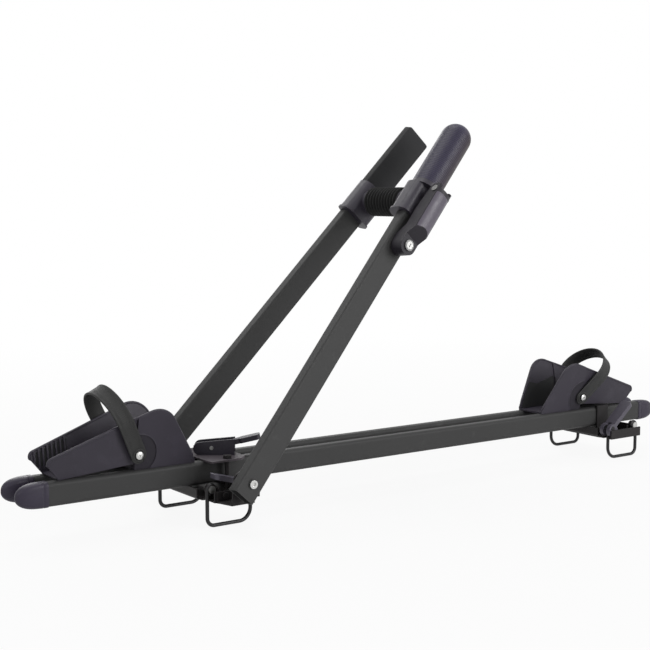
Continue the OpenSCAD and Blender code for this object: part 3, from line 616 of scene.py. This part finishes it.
def sheeted(name, grid, depth):
    """A thin closed sheet: rows of points on its face, and the step from its face to its back."""
    form = bmesh.new()
    face, back = ([[form.verts.new(Vector(point) + step) for point in row] for row in grid]
                  for step in (Vector(), depth))
    last_row, last = len(grid) - 1, len(grid[0]) - 1
    for i in range(last_row):
        for j in range(last):
            for side in (face, back):
                form.faces.new((side[i][j], side[i + 1][j], side[i + 1][j + 1], side[i][j + 1]))
    rim = [(i, 0) for i in range(last_row + 1)] + [(last_row, j) for j in range(1, last + 1)]
    rim += [(i, last) for i in range(last_row - 1, -1, -1)]
    rim += [(0, j) for j in range(last - 1, 0, -1)]
    for (i, j), (k, l) in zip(rim, rim[1:] + rim[:1]):
        form.faces.new((face[i][j], face[k][l], back[k][l], back[i][j]))
    bmesh.ops.recalc_face_normals(form, faces=form.faces)
    return new_piece(name, form, sharp=40)


def rounded_section(width, height, radius, steps=6):
    """Points round a rectangle with round corners."""
    points = []
    for quarter, (right, up) in enumerate(((1, 1), (-1, 1), (-1, -1), (1, -1))):
        for i in range(steps + 1):
            a = math.pi / 2 * (quarter + i / steps)
            points.append((right * (width / 2 - radius) + radius * math.cos(a),
                           up * (height / 2 - radius) + radius * math.sin(a)))
    return points


def growing(name, inputs, output):
    """A new tree that makes a mesh, with named inputs for its sizes, and those inputs."""
    tree = bpy.data.node_groups.new(name, "GeometryNodeTree")
    for label, kind in inputs:
        tree.interface.new_socket(label, in_out="INPUT", socket_type="NodeSocket" + kind)
    tree.interface.new_socket(output, in_out="OUTPUT", socket_type="NodeSocketGeometry")
    recipe = Recipe(tree)
    return recipe, recipe.node("NodeGroupInput")


def coated(recipe, made, coat, output):
    """Ends a tree: its copies become real and take their coat."""
    real = recipe.node("GeometryNodeRealizeInstances", sockets={"Geometry": made})
    done = recipe.node("GeometryNodeSetMaterial", sockets={"Geometry": real, "Material": coat})
    recipe.node("NodeGroupOutput", sockets={output: done})
    return recipe.tree


def grown(name, mesh, tree, sizes):
    """A piece with the mesh that a tree makes."""
    piece = bpy.data.objects.new(name, mesh)
    scene.collection.objects.link(piece)
    grow = piece.modifiers.new("grow", "NODES")
    grow.node_group = tree
    named = {item.name: item.identifier for item in tree.interface.items_tree}
    for label, value in sizes.items():
        grow[named[label]] = value
    return settled(piece)


# Rail ends

CAP_SHOWN = 48 * MM
CAP_BAND = 8 * MM
CAP_SEAM = 0.5 * MM
CAP_CORNER = 6 * MM
CAP_TUCK = 4 * MM
NOSE = CAP_SHOWN - CAP_BAND
NOSE_TURNS = 22
NOSE_BLUNT = 3.1
NOSE_TIP = 0.03
# How far the corners round out along the nose, and how soon
NOSE_ROUND, NOSE_SOON = 0.85, 0.7


def rail_cap(node, out):
    """Blunt bullet cap: a plain band at the tube, a fine seam, then a round nose. out is -1 or 1
    along X."""
    low, high = corners(node)
    middle = (low + high) / 2
    width, height = high.y - low.y, high.z - low.z
    tip = high.x if out > 0 else low.x
    seam = 1 - CAP_SEAM / width
    # Place along the cap, and share of the full section there
    stations = [(-CAP_TUCK, 0.86), (0, 0.9), (0, 0.99), (0.5 * MM, 1), (CAP_BAND - 1.4 * MM, 1),
                (CAP_BAND - 0.9 * MM, seam), (CAP_BAND - 0.2 * MM, seam), (CAP_BAND + 0.3 * MM, 1)]
    for i in range(1, NOSE_TURNS + 1):
        share = math.sin(math.pi / 2 * i / NOSE_TURNS)
        stations.append((CAP_BAND + NOSE * share, max(NOSE_TIP, (1 - share ** NOSE_BLUNT) ** 0.5)))
    rings = []
    for along, size in stations:
        fullness = min(1, max(0, (along - CAP_BAND) / NOSE))
        corner = CAP_CORNER + (width / 2 - CAP_CORNER) * NOSE_ROUND * fullness ** NOSE_SOON
        rings.append([(tip - out * (CAP_SHOWN - along), middle.y + y * size, middle.z + z * size)
                      for y, z in rounded_section(width, height, corner)])
    piece = lofted(node + "_moulded", rings, sharp=50)
    finished(piece, "base", cap_plastic, "cap_plastic", node)


for side, _ in SIDES:
    for end, out in ENDS:
        rail_cap(f"{end}_{side}_end_cap", out)


# Wheel straps

STRAP_LEAN = {"front": math.radians(26), "rear": math.radians(46)}
STRAP_WIDTH = 26 * MM
STRAP_THICK = 3 * MM
STRAP_RISE = 108 * MM
STRAP_FOOT = 36.4 * MM
# Section of a strap with its beaded edges, as shares of half its width and half its thickness
STRAP_SECTION = ((-1, 0.6), (-0.95, 1), (-0.8, 1), (-0.72, 0.62), (0.72, 0.62), (0.8, 1),
                 (0.95, 1), (1, 0.6), (1, -0.6), (0.95, -1), (-0.95, -1), (-1, -0.6))
END_STEPS, LEG_STEPS, ARCH_STEPS = 12, 16, 48
END_TIP = 0.04
# Lean of the straps' legs and the trays' walls, out for each step up
FLARE = 0.2
FLARE_ANGLE = math.atan(FLARE)


def strap_path():
    """Middle line of the arch from foot to foot: place across and up, the way outwards, and half
    the width."""
    sine, cosine = math.sin(FLARE_ANGLE), math.cos(FLARE_ANGLE)
    inner = (STRAP_RISE + STRAP_FOOT / FLARE) / (cosine / FLARE + sine + 1)
    join = (inner * cosine - STRAP_FOOT) / FLARE
    centre = join + inner * sine
    half = STRAP_WIDTH / 2
    leg = []
    for i in range(END_STEPS + 1):
        a = math.pi / 2 * (1 - i / END_STEPS)
        leg.append((-half * math.sin(a), max(half * math.cos(a), END_TIP * half)))
    leg += [(join * i / LEG_STEPS, half) for i in range(1, LEG_STEPS + 1)]
    right = [(STRAP_FOOT + up * FLARE + cosine * STRAP_THICK / 2, up - sine * STRAP_THICK / 2,
              cosine, -sine, wide) for up, wide in leg]
    arch = []
    radius = inner + STRAP_THICK / 2
    for i in range(1, ARCH_STEPS):
        a = -FLARE_ANGLE + (math.pi + 2 * FLARE_ANGLE) * i / ARCH_STEPS
        arch.append((radius * math.cos(a), centre + radius * math.sin(a),
                     math.cos(a), math.sin(a), half))
    left = [(-y, z, -out_y, out_z, wide) for y, z, out_y, out_z, wide in reversed(right)]
    return right + arch + left


def wheel_strap(end, out):
    """Flexible strap with beaded edges and round ends, leaning on its two rivets."""
    pivot = pivot_of(end + "_strap_swing")
    sine, cosine = math.sin(STRAP_LEAN[end]), math.cos(STRAP_LEAN[end])
    rings, runs = [], []
    run, before = 0.0, None
    for y, z, out_y, out_z, half in strap_path():
        run += math.dist(before, (y, z)) if before else 0
        before = (y, z)
        ring = []
        for across, thick in STRAP_SECTION:
            aside = across * half
            proud = thick * STRAP_THICK / 2
            up = z + out_z * proud
            ring.append((pivot.x + out * (aside * cosine + up * sine), y + out_y * proud,
                         pivot.z - aside * sine + up * cosine))
        rings.append(ring)
        runs.append(run)
    piece = lofted(end + "_strap_moulded", rings, runs, sharp=50)
    finished(piece, end + "_strap", strap_rubber, "strap_rubber", end + "_strap")


for end, out in ENDS:
    wheel_strap(end, out)


# Wheel trays: sizes along a tray are counted from its inner end, heights from its underside

TRAY_HALF = 29 * MM
TRAY_WALL = 3 * MM
TRAY_STEP = 103 * MM
TRAY_FOOT = 225 * MM
TRAY_RISE = 10 * MM
TRAY_SLOPE = TRAY_RISE / (TRAY_FOOT - TRAY_STEP)
STEP_EASE = 4 * MM
# Centre and radius of the wall's round peak and round tip
TRAY_PEAK = ((71 * MM, 56 * MM), 34 * MM)
TRAY_TIP = ((235 * MM, 26 * MM), 8 * MM)
TRAY_NOSE = (0, 5 * MM)
PEAK_STEPS, TIP_STEPS = 20, 10
RIM_RADIUS = 2.3 * MM
RIM_STEP = 6 * MM
RIM_SIDES = 12


def tray_start(end, out):
    """Where a tray's inner end lies along X, and its underside's height."""
    low, high = corners(end + "_tray")
    return high.x if out < 0 else low.x, low.z


def tangent(centre, radius, other, other_radius, turn):
    """Angle at which the common tangent of two circles touches the first."""
    ahead = math.atan2(other[1] - centre[1], other[0] - centre[0])
    return ahead + turn * math.acos((radius - other_radius) / math.dist(centre, other))


def arc(centre, radius, start, end, steps):
    return [(centre[0] + radius * math.cos(a), centre[1] + radius * math.sin(a))
            for a in (start + (end - start) * i / steps for i in range(steps + 1))]


def rim_line():
    """Top edge of a tray wall from the inner end over the peak to the tip, as distance out and
    height."""
    heel = (TRAY_FOOT, 0)
    first = tangent(*TRAY_PEAK, TRAY_NOSE, 0, -1) + 2 * math.pi
    over = tangent(*TRAY_PEAK, *TRAY_TIP, 1)
    last = tangent(*TRAY_TIP, heel, 0, 1)
    points = [TRAY_NOSE, *arc(*TRAY_PEAK, first, over, PEAK_STEPS),
              *arc(*TRAY_TIP, over, last, TIP_STEPS)]
    line = points[:1]
    for start, end in zip(points, points[1:]):
        parts = max(1, round(math.dist(start, end) / RIM_STEP))
        line += [tuple(a + (b - a) * i / parts for a, b in zip(start, end))
                 for i in range(1, parts + 1)]
    return line


def tray_rims(end, out):
    """Rolled rims along the top edges of both walls of a tray."""
    start, base = tray_start(end, out)
    for name, side in SIDES:
        path = []
        for away, up in rim_line():
            outer = min(1, max(0, (away - TRAY_STEP + STEP_EASE) / (2 * STEP_EASE)))
            above = up - outer * TRAY_SLOPE * (TRAY_FOOT - away)
            path.append(Vector((start + out * away,
                                side * (TRAY_HALF + FLARE * above - TRAY_WALL / 2), base + up)))
        rings = []
        last = len(path) - 1
        for k, point in enumerate(path):
            along = (path[min(k + 1, last)] - path[max(k - 1, 0)]).normalized()
            level = Vector((0, 1, 0))
            level = (level - along * level.dot(along)).normalized()
            over = along.cross(level)
            radius = RIM_RADIUS * min(1, 0.25 + 0.75 * min(k, last - k) / 2)
            rings.append([point + radius * (math.cos(a) * level + math.sin(a) * over)
                          for a in angles(RIM_SIDES)])
        rim = lofted(f"{end}_{name}_tray_rim", rings)
        finished(rim, "base", tray_plastic, "tray_plastic")


for end, out in ENDS:
    tray_rims(end, out)

SHIELD = 1.0 * MM
BEAD = 0.9 * MM
BEAD_PROUD = 0.6
BEAD_FROM, BEAD_TURN = -44, 138
BEAD_STEPS, BEAD_SIDES = 36, 10


def recess_beads(end, out):
    """Fine raised bead round the open recess of each raised panel, where the strap's end lies."""
    pivot = pivot_of(end + "_strap_swing")
    base = tray_start(end, out)[1]
    for name, side in SIDES:
        proud = BEAD_PROUD * Vector((0, side, -FLARE)).normalized()
        rings = []
        for k in range(BEAD_STEPS + 1):
            a = math.radians(BEAD_FROM + BEAD_TURN * k / BEAD_STEPS)
            toward = Vector((-out * math.cos(a), 0, math.sin(a)))
            middle = Vector((pivot.x, 0, pivot.z)) + RECESS * toward
            middle.y = side * (TRAY_HALF + FLARE * (middle.z - base) + SHIELD)
            size = BEAD * min(1, 0.3 + 0.35 * min(k, BEAD_STEPS - k))
            rings.append([middle + size * (math.cos(b) * toward + math.sin(b) * proud)
                          for b in angles(BEAD_SIDES)])
        bead = lofted(f"{end}_{name}_recess_bead", rings)
        finished(bead, "base", tray_plastic, "tray_plastic")


for end, out in ENDS:
    recess_beads(end, out)

# Painted shade: thin dark sheets on the inside of the trays' walls stand in for the shadow in the
# deep half and in the gaps between the ribs
TRAY_LIP = 3.06 * MM
SHADE_SHEET = 0.4 * MM
SHADE_SHEET_SUNK = 0.2 * MM
SHADE_SHEET_ROWS, SHADE_SHEET_COLUMNS = 8, 24
# Where the painted shade sheets of the deep half and of the ribbed half begin, and how far they run
DEEP_FROM, DEEP_RUN = 6 * MM, 92 * MM
RIBBED_FROM, RIBBED_RUN = 184 * MM, 50 * MM
# Height of the deep shade sheet's edge in its middle, and its rise to both ends
DEEP_CREST, DEEP_RISE = 46 * MM, 12 * MM
# Lower edge of each shade sheet, what it leaves bare under the rim, and its least upper edge
DEEP_FOOT, DEEP_BARE, DEEP_LEAST = 4 * MM, 6 * MM, 6 * MM
RIBBED_FOOT, RIBBED_BARE = 12 * MM, 3 * MM


def rim_height(away):
    """Height of the wall's top edge at a distance out."""
    line = rim_line()
    for (a, low), (b, high) in zip(line, line[1:]):
        if a <= away <= b and b > a:
            return low + (high - low) * (away - a) / (b - a)
    return 0


def wall_shade_sheet(name, end, out, side, columns):
    """Thin dark sheet on the inside of a tray wall, as painted shade for the shadow there, from
    columns of distance out, low edge and high edge."""
    start, base = tray_start(end, out)
    grid = []
    for away, bottom, top in columns:
        row = []
        for j in range(SHADE_SHEET_ROWS + 1):
            up = bottom + (top - bottom) * j / SHADE_SHEET_ROWS
            above = up - TRAY_SLOPE * (TRAY_FOOT - away) if away > TRAY_STEP else up
            row.append((start + out * away,
                        side * (TRAY_HALF + FLARE * above - TRAY_LIP - SHADE_SHEET), base + up))
        grid.append(row)
    piece = sheeted(name, grid, Vector((0, side * (SHADE_SHEET + SHADE_SHEET_SUNK), 0)))
    finished(piece, "base", pad_rubber, "black_rubber")


def deep_columns():
    for i in range(SHADE_SHEET_COLUMNS + 1):
        away = DEEP_FROM + DEEP_RUN * i / SHADE_SHEET_COLUMNS
        crest = DEEP_CREST + DEEP_RISE * abs(2 * i / SHADE_SHEET_COLUMNS - 1)
        top = min(crest, rim_height(away) - DEEP_BARE)
        yield away, DEEP_FOOT, max(DEEP_LEAST, top)


def ribbed_columns():
    for i in range(SHADE_SHEET_COLUMNS + 1):
        away = RIBBED_FROM + RIBBED_RUN * i / SHADE_SHEET_COLUMNS
        yield away, RIBBED_FOOT, rim_height(away) - RIBBED_BARE


for end, out in ENDS:
    for name, side in SIDES:
        wall_shade_sheet(f"{end}_{name}_tray_lining", end, out, side, deep_columns())
        wall_shade_sheet(f"{end}_{name}_rib_lining", end, out, side, ribbed_columns())


# Rivets and rings at the straps' ends

# Radius and height along each outline, in millimetres
RIVET = ((0, -0.3), (1.3, -0.3), (1.6, 1.4), (2.1, 1.9), (3.9, 1.8), (5.3, 1.3), (6.1, 0.6),
         (6.3, -0.4), (0, -0.4))
RING = ((7.3, -0.4), (7.5, 0.35), (8.2, 0.7), (9.9, 0.7), (10.6, 0.3), (10.8, -0.4), (7.3, -0.4))
RIVET_SUNK = 2 * MM


def spread_tree():
    """Sets one small form on every point, turned by the point's own attribute."""
    recipe, given = growing(
        "spread", (("Points", "Geometry"), ("Form", "Object"), ("Coat", "Material")), "Pieces")
    form = recipe.node("GeometryNodeObjectInfo", sockets={"Object": given.out("Form")},
                       out="Geometry")
    turn = recipe.node("GeometryNodeInputNamedAttribute", {"data_type": "QUATERNION"},
                       {"Name": "turn"}, "Attribute")
    put = recipe.node("GeometryNodeInstanceOnPoints", sockets={
        "Points": given.out("Points"), "Instance": form, "Rotation": turn})
    return coated(recipe, put, given.out("Coat"), "Pieces")


SPREAD = spread_tree()


def spread(name, form, places, coat):
    """One piece made of a form at each place: a point, and the way that the form faces."""
    mesh = bpy.data.meshes.new(name)
    mesh.from_pydata([point for point, facing in places], [], [])
    turns = mesh.attributes.new("turn", "QUATERNION", "POINT")
    turns.data.foreach_set("value", [number for point, facing in places
                                     for number in facing.to_track_quat("Z", "Y")])
    piece = grown(name, mesh, SPREAD, {"Form": form, "Coat": coat})
    kept = piece.data.attributes
    if "turn" in kept:
        kept.remove(kept["turn"])
    return piece


def small_form(name, outline):
    return turned(name, [(radius * MM, height * MM) for radius, height in outline])


def drop(form):
    mesh = form.data
    bpy.data.objects.remove(form)
    bpy.data.meshes.remove(mesh)


rivet_form = small_form("rivet_form", RIVET)
for end, out in ENDS:
    pivot = pivot_of(end + "_strap_swing")
    reach = corners(end + "_tray_rivets")[1].y - RIVET_SUNK
    heads = [((pivot.x, side * reach, pivot.z), Vector((0, side, 0))) for name, side in SIDES]
    rivets = spread(end + "_strap_rivets", rivet_form, heads, zinc)
    finished(rivets, "base", zinc, "bright_steel", end + "_tray_rivets")
drop(rivet_form)

ring_form = small_form("ring_form", RING)
for end, out in ENDS:
    pivot = pivot_of(end + "_strap_swing")
    reach = STRAP_FOOT + STRAP_THICK / math.cos(FLARE_ANGLE)
    dip, lean = math.sin(FLARE_ANGLE), STRAP_LEAN[end]
    seats = [((pivot.x, side * reach, pivot.z),
              Vector((-out * dip * math.sin(lean), side * math.cos(FLARE_ANGLE),
                      -dip * math.cos(lean)))) for name, side in SIDES]
    rings = spread(end + "_strap_rings", ring_form, seats, strap_rubber)
    finished(rings, end + "_strap", strap_rubber, "strap_rubber")
drop(ring_form)


# Clamp between the arms

SLEEVE_RIBS = 11
SLEEVE_GROOVE = 6.5 * MM
SLEEVE_SIDES, RIB_STEPS = 56, 12
GROOVE_NARROW = 3


def sleeve_tree():
    """Ribbed sleeve round Z: a tube whose wall is drawn in between round ribs."""
    recipe, given = growing(
        "ribbed_tube", (("Tube", "Geometry"), ("Length", "Float"), ("Radius", "Float"),
                        ("Groove", "Float"), ("Ribs", "Int"), ("Coat", "Material")), "Sleeve")
    length, radius, groove, ribs = (given.out(size)
                                    for size in ("Length", "Radius", "Groove", "Ribs"))
    tube = recipe.node("GeometryNodeMeshCylinder", sockets={
        "Vertices": SLEEVE_SIDES, "Side Segments": ribs * RIB_STEPS,
        "Radius": radius, "Depth": length})
    x = recipe.node("ShaderNodeSeparateXYZ", sockets={0: recipe.node("GeometryNodeInputPosition")})
    y, z = x.out("Y"), x.out("Z")
    wave = abs((z / length * ribs * math.pi).sine())
    share = 1 - wave ** GROOVE_NARROW * groove / radius
    drawn_in = recipe.node("ShaderNodeCombineXYZ", sockets={"X": x * share, "Y": y * share, "Z": z})
    sleeve = recipe.node("GeometryNodeSetPosition",
                         sockets={"Geometry": tube, "Position": drawn_in})
    return coated(recipe, sleeve, given.out("Coat"), "Sleeve")


def ribbed_sleeve():
    low, high = corners("ribbed_sleeve")
    name = "ribbed_sleeve_moulded"
    piece = grown(name, bpy.data.meshes.new(name), sleeve_tree(), {
        "Length": high.y - low.y, "Radius": (high.z - low.z) / 2, "Groove": SLEEVE_GROOVE,
        "Ribs": SLEEVE_RIBS, "Coat": sleeve_rubber})
    upright = Matrix.Rotation(math.pi / 2, 4, "X")
    piece.data.transform(Matrix.Translation((low + high) / 2) @ upright)
    smoothed(piece.data, sharp=50)
    finished(piece, "arms", sleeve_rubber, "black_rubber", "ribbed_sleeve")


ribbed_sleeve()

# The near arm's own frame: across its broad face, inwards to the bicycle, and along the tube
ARM_ACROSS = -axis_of("clamp_lever_swing")
ARM_INWARD = -axis_of("lock_turn")
ARM_ALONG = ARM_ACROSS.cross(ARM_INWARD)
ARM_SPREAD = 138 * MM
ARM_FOOT = pivot_of("arm_fold") - Vector((0, ARM_SPREAD, 0))


def on_arm(across, inward, along):
    return ARM_FOOT + ARM_ACROSS * across + ARM_INWARD * inward + ARM_ALONG * along


GRIP_RADIUS = 26.5 * MM
GRIP_SKIN = GRIP_RADIUS + 0.25 * MM
GRIP_FLAT = 17.05 * MM
GRIP_START = 594 * MM
GRIP_END = 732 * MM
GRIP_SIDES = 64
GRIP_RINGS = 34
RINGS_PAST = 10 * MM
RING_DEPTH = 0.35 * MM
# Places along one ring, as shares of its pitch, and whether the skin is cut in there
RING_CUT = ((0.1, 0), (0.6, 0), (0.75, 1), (0.9, 1))
# Share of the radius at the grip's start and at the tip of its dome
GRIP_TUCK, DOME_TIP = 0.97, 0.02
DOME_GAP = 0.6 * MM
DOME_PROUD = 0.2 * MM
DOME_STEPS = 14


def ringed_grip():
    """Skin of the near grip: a round dome-ended sleeve with fine rings, flat where the jaw pad
    sits."""
    coat = sheen_tinted_grip("grip_plastic", ARM_ACROSS, ARM_ACROSS.dot(ARM_FOOT),
                         cool=shade(44, 40, 62), warm=shade(54, 42, 42))
    round_start = GRIP_END - GRIP_RADIUS
    pitch = (round_start + RINGS_PAST - GRIP_START) / GRIP_RINGS
    outline = [(GRIP_START, GRIP_TUCK)]
    for ring in range(GRIP_RINGS):
        for share, cut in RING_CUT:
            outline.append((GRIP_START + pitch * (ring + share), 1 - cut * RING_DEPTH / GRIP_SKIN))
    dome_from = outline[-1][0] + DOME_GAP
    dome = GRIP_END + DOME_PROUD - dome_from
    outline += [(dome_from + dome * math.sin(math.pi / 2 * i / DOME_STEPS), 1)
                for i in range(DOME_STEPS + 1)]
    rings = []
    for along, share in outline:
        bulge = max(0, along - round_start) / GRIP_SKIN
        radius = GRIP_SKIN * share * max(math.sqrt(max(1 - bulge * bulge, 0)), DOME_TIP)
        rings.append([on_arm(radius * math.cos(a), min(radius * math.sin(a), GRIP_FLAT), along)
                      for a in angles(GRIP_SIDES)])
    piece = lofted("near_grip_skin", rings, sharp=24)
    finished(piece, "arms", coat, "claw_plastic")


ringed_grip()

PADDLE_HALF = 26.3 * MM
PADDLE_BACK = -4.3 * MM
PADDLE_FACE = 12 * MM
PADDLE_THICK = PADDLE_FACE - PADDLE_BACK
PADDLE_START = 586 * MM
PADDLE_END = 719.3 * MM
PADDLE_CORNER = 4.5 * MM
PADDLE_EDGE = 1.6 * MM
PADDLE_HOLLOW = 0.7 * MM
PADDLE_STEPS, CORNER_STEPS = 10, 12


def rubber_paddle():
    """Plain rubber paddle of the far jaw, moulded round its plate, with crisp corners and a face a
    little hollow."""
    straight = PADDLE_END - PADDLE_CORNER - PADDLE_START
    # Place along the paddle, and shares of its full width and thickness there
    stations = [(PADDLE_START + straight * i / PADDLE_STEPS, 1, 1)
                for i in range(PADDLE_STEPS + 1)]
    for i in range(1, CORNER_STEPS + 1):
        a = math.pi / 2 * i / CORNER_STEPS
        left = PADDLE_CORNER * (1 - math.sin(a))
        inset = PADDLE_CORNER * (1 - math.cos(a))
        near_end = max(0, 1 - left / PADDLE_EDGE)
        thin = PADDLE_EDGE * (1 - math.sqrt(max(0, 1 - near_end ** 2)))
        stations.append((PADDLE_END - left, 1 - inset / PADDLE_HALF, 1 - 2 * thin / PADDLE_THICK))
    rings = []
    for along, wide, deep in stations:
        ring = []
        section = rounded_section(2 * PADDLE_HALF * wide, PADDLE_THICK * deep, PADDLE_EDGE, steps=4)
        for across, through in section:
            inward = (PADDLE_FACE + PADDLE_BACK) / 2 + through
            if through > 0 and wide == 1:
                inward -= PADDLE_HOLLOW * (1 - (across / PADDLE_HALF) ** 2)
            point = on_arm(across, inward, along)
            ring.append((point.x, -point.y, point.z))
        rings.append(ring)
    piece = lofted("far_paddle_moulded", rings, sharp=30)
    finished(piece, "arms", paddle_rubber, "black_rubber", "far_jaw_pad")


rubber_paddle()

LEVER_ACROSS = 4 * MM
COVER_HALF = 15.4 * MM
COVER_RADIUS = 24.33 * MM
COVER_BACK = -53 * MM
COVER_TOP = 574 * MM
COVER_PROUD = 0.4 * MM
COVER_THICK = 1.2 * MM
COVER_GAP = 0.6 * MM
COVER_COLUMNS, COVER_ROWS = 24, 30
# How far the cover's sides and ends turn in, and how late
SIDE_TURN, SIDE_LATE = 0.55 * MM, 8
END_TURN, END_LATE = 0.45 * MM, 40
FACET_START = 482 * MM
FACET_BACK = -36 * MM
FACET_RISE = 17 / 20


def lever_cover():
    """Pale cover on the round back of the clamp lever, cut to an oval where the lock's facet meets
    it."""
    grid = []
    for i in range(COVER_COLUMNS + 1):
        aside = 2 * i / COVER_COLUMNS - 1
        across = COVER_HALF * aside
        back = COVER_BACK + COVER_RADIUS - math.sqrt(COVER_RADIUS ** 2 - across ** 2)
        start = FACET_START + (FACET_BACK - back) / FACET_RISE + COVER_GAP
        sides = SIDE_TURN * abs(aside) ** SIDE_LATE
        row = []
        for j in range(COVER_ROWS + 1):
            share = j / COVER_ROWS
            ends = END_TURN * abs(2 * share - 1) ** END_LATE
            row.append(on_arm(LEVER_ACROSS + across, back - COVER_PROUD + sides + ends,
                              start + (COVER_TOP - start) * share))
        grid.append(row)
    piece = sheeted("clamp_lever_cover", grid, ARM_INWARD * COVER_THICK)
    finished(piece, body_of("clamp_lever"), dome_plastic, "lever_plastic")


lever_cover()


# Pins of the bail levers

PIN_EASE = 0.6 * MM
PIN_SLACK = 0.09 * MM


def lever_pin(node):
    """Plain dark pin with eased ends, a hair thinner than its bore."""
    low, high = corners(node)
    size = high - low
    radius = min(size) / 2 - PIN_SLACK
    half = max(size) / 2
    end = [(radius, half - PIN_EASE), (radius - PIN_EASE, half), (0, half)]
    outline = [(r, -height) for r, height in reversed(end)] + end
    piece = turned(node + "_turned", outline, steps=28)
    along = Vector([1.0 if side == max(size) else 0.0 for side in size])
    lying = along.to_track_quat("Z", "Y").to_matrix().to_4x4()
    piece.data.transform(Matrix.Translation((low + high) / 2) @ lying)
    finished(piece, body_of(node), wire_coat, "bright_steel", node)


for end, _ in ENDS:
    for side, _ in SIDES:
        lever_pin(f"{end}_{side}_lever_pin")


# Pressed, moulded and rubber pieces that keep their solids' forms

for node in ("front_saddle", "rear_saddle"):
    eased(node, bracket_coat, "coated_steel", width=0.4 * MM, merged=False)
for node in ("near_arm_foot", "far_arm_foot", "rear_rail_clips", "front_saddle_bolts"):
    eased(node, bracket_coat, "coated_steel", width=0.7 * MM)
# The top plate takes the lighter copy of the coated steel, painted light
eased("front_top_plate", plate_coat, "coated_steel", width=0.7 * MM)
for end, _ in ENDS:
    eased(end + "_tray", tray_plastic, "tray_plastic", width=1.0 * MM)
    eased(end + "_pad", pad_rubber, "black_rubber", width=1.5 * MM, segments=4)
    for side, _ in SIDES:
        eased(f"{end}_{side}_bail_lever", bail_lever_plastic, "lever_plastic",
              width=1.6 * MM, segments=3)
for node in ("near_claw", "far_claw"):
    eased(node, claw_plastic, "claw_plastic", width=1.6 * MM)
eased("near_jaw_pad", pad_rubber, "black_rubber", width=2.0 * MM, segments=4)
eased("clamp_lever", lever_plastic, "lever_plastic", width=1.4 * MM, segments=3)
for node in ("adjuster_housing", "adjuster_lever"):
    eased(node, adjuster_plastic, "lever_plastic", width=1.4 * MM, segments=3)
for node in ("arm_pivot_bolts", "rear_clip_bolts", "draw_rod_nut"):
    eased(node, zinc, "bright_steel", width=0.6 * MM)
for node in ("adjuster_pin", "clamp_lever_pin"):
    eased(node, dull_steel, "bright_steel", width=0.6 * MM)


# Coats of the solids, by their slots and for one of them by itself

coats = {
    "dark_tube": rail_coat, "grey_tube": arm_coat, "cap_plastic": cap_plastic,
    "tray_plastic": tray_plastic, "claw_plastic": claw_plastic, "lever_plastic": lever_plastic,
    "coated_steel": bracket_coat, "dark_wire": wire_coat, "bright_steel": zinc,
    "lock_metal": lock_chrome, "black_rubber": pad_rubber, "strap_rubber": strap_rubber,
}
own_coats = {"lock_barrel": dull_steel}
for part in frame["record"]["subparts"]:
    shown = frame["nodes"][part["node"]]
    shown.data.materials.clear()
    shown.data.materials.append(own_coats.get(part["node"], coats[part["material_slot"]]))
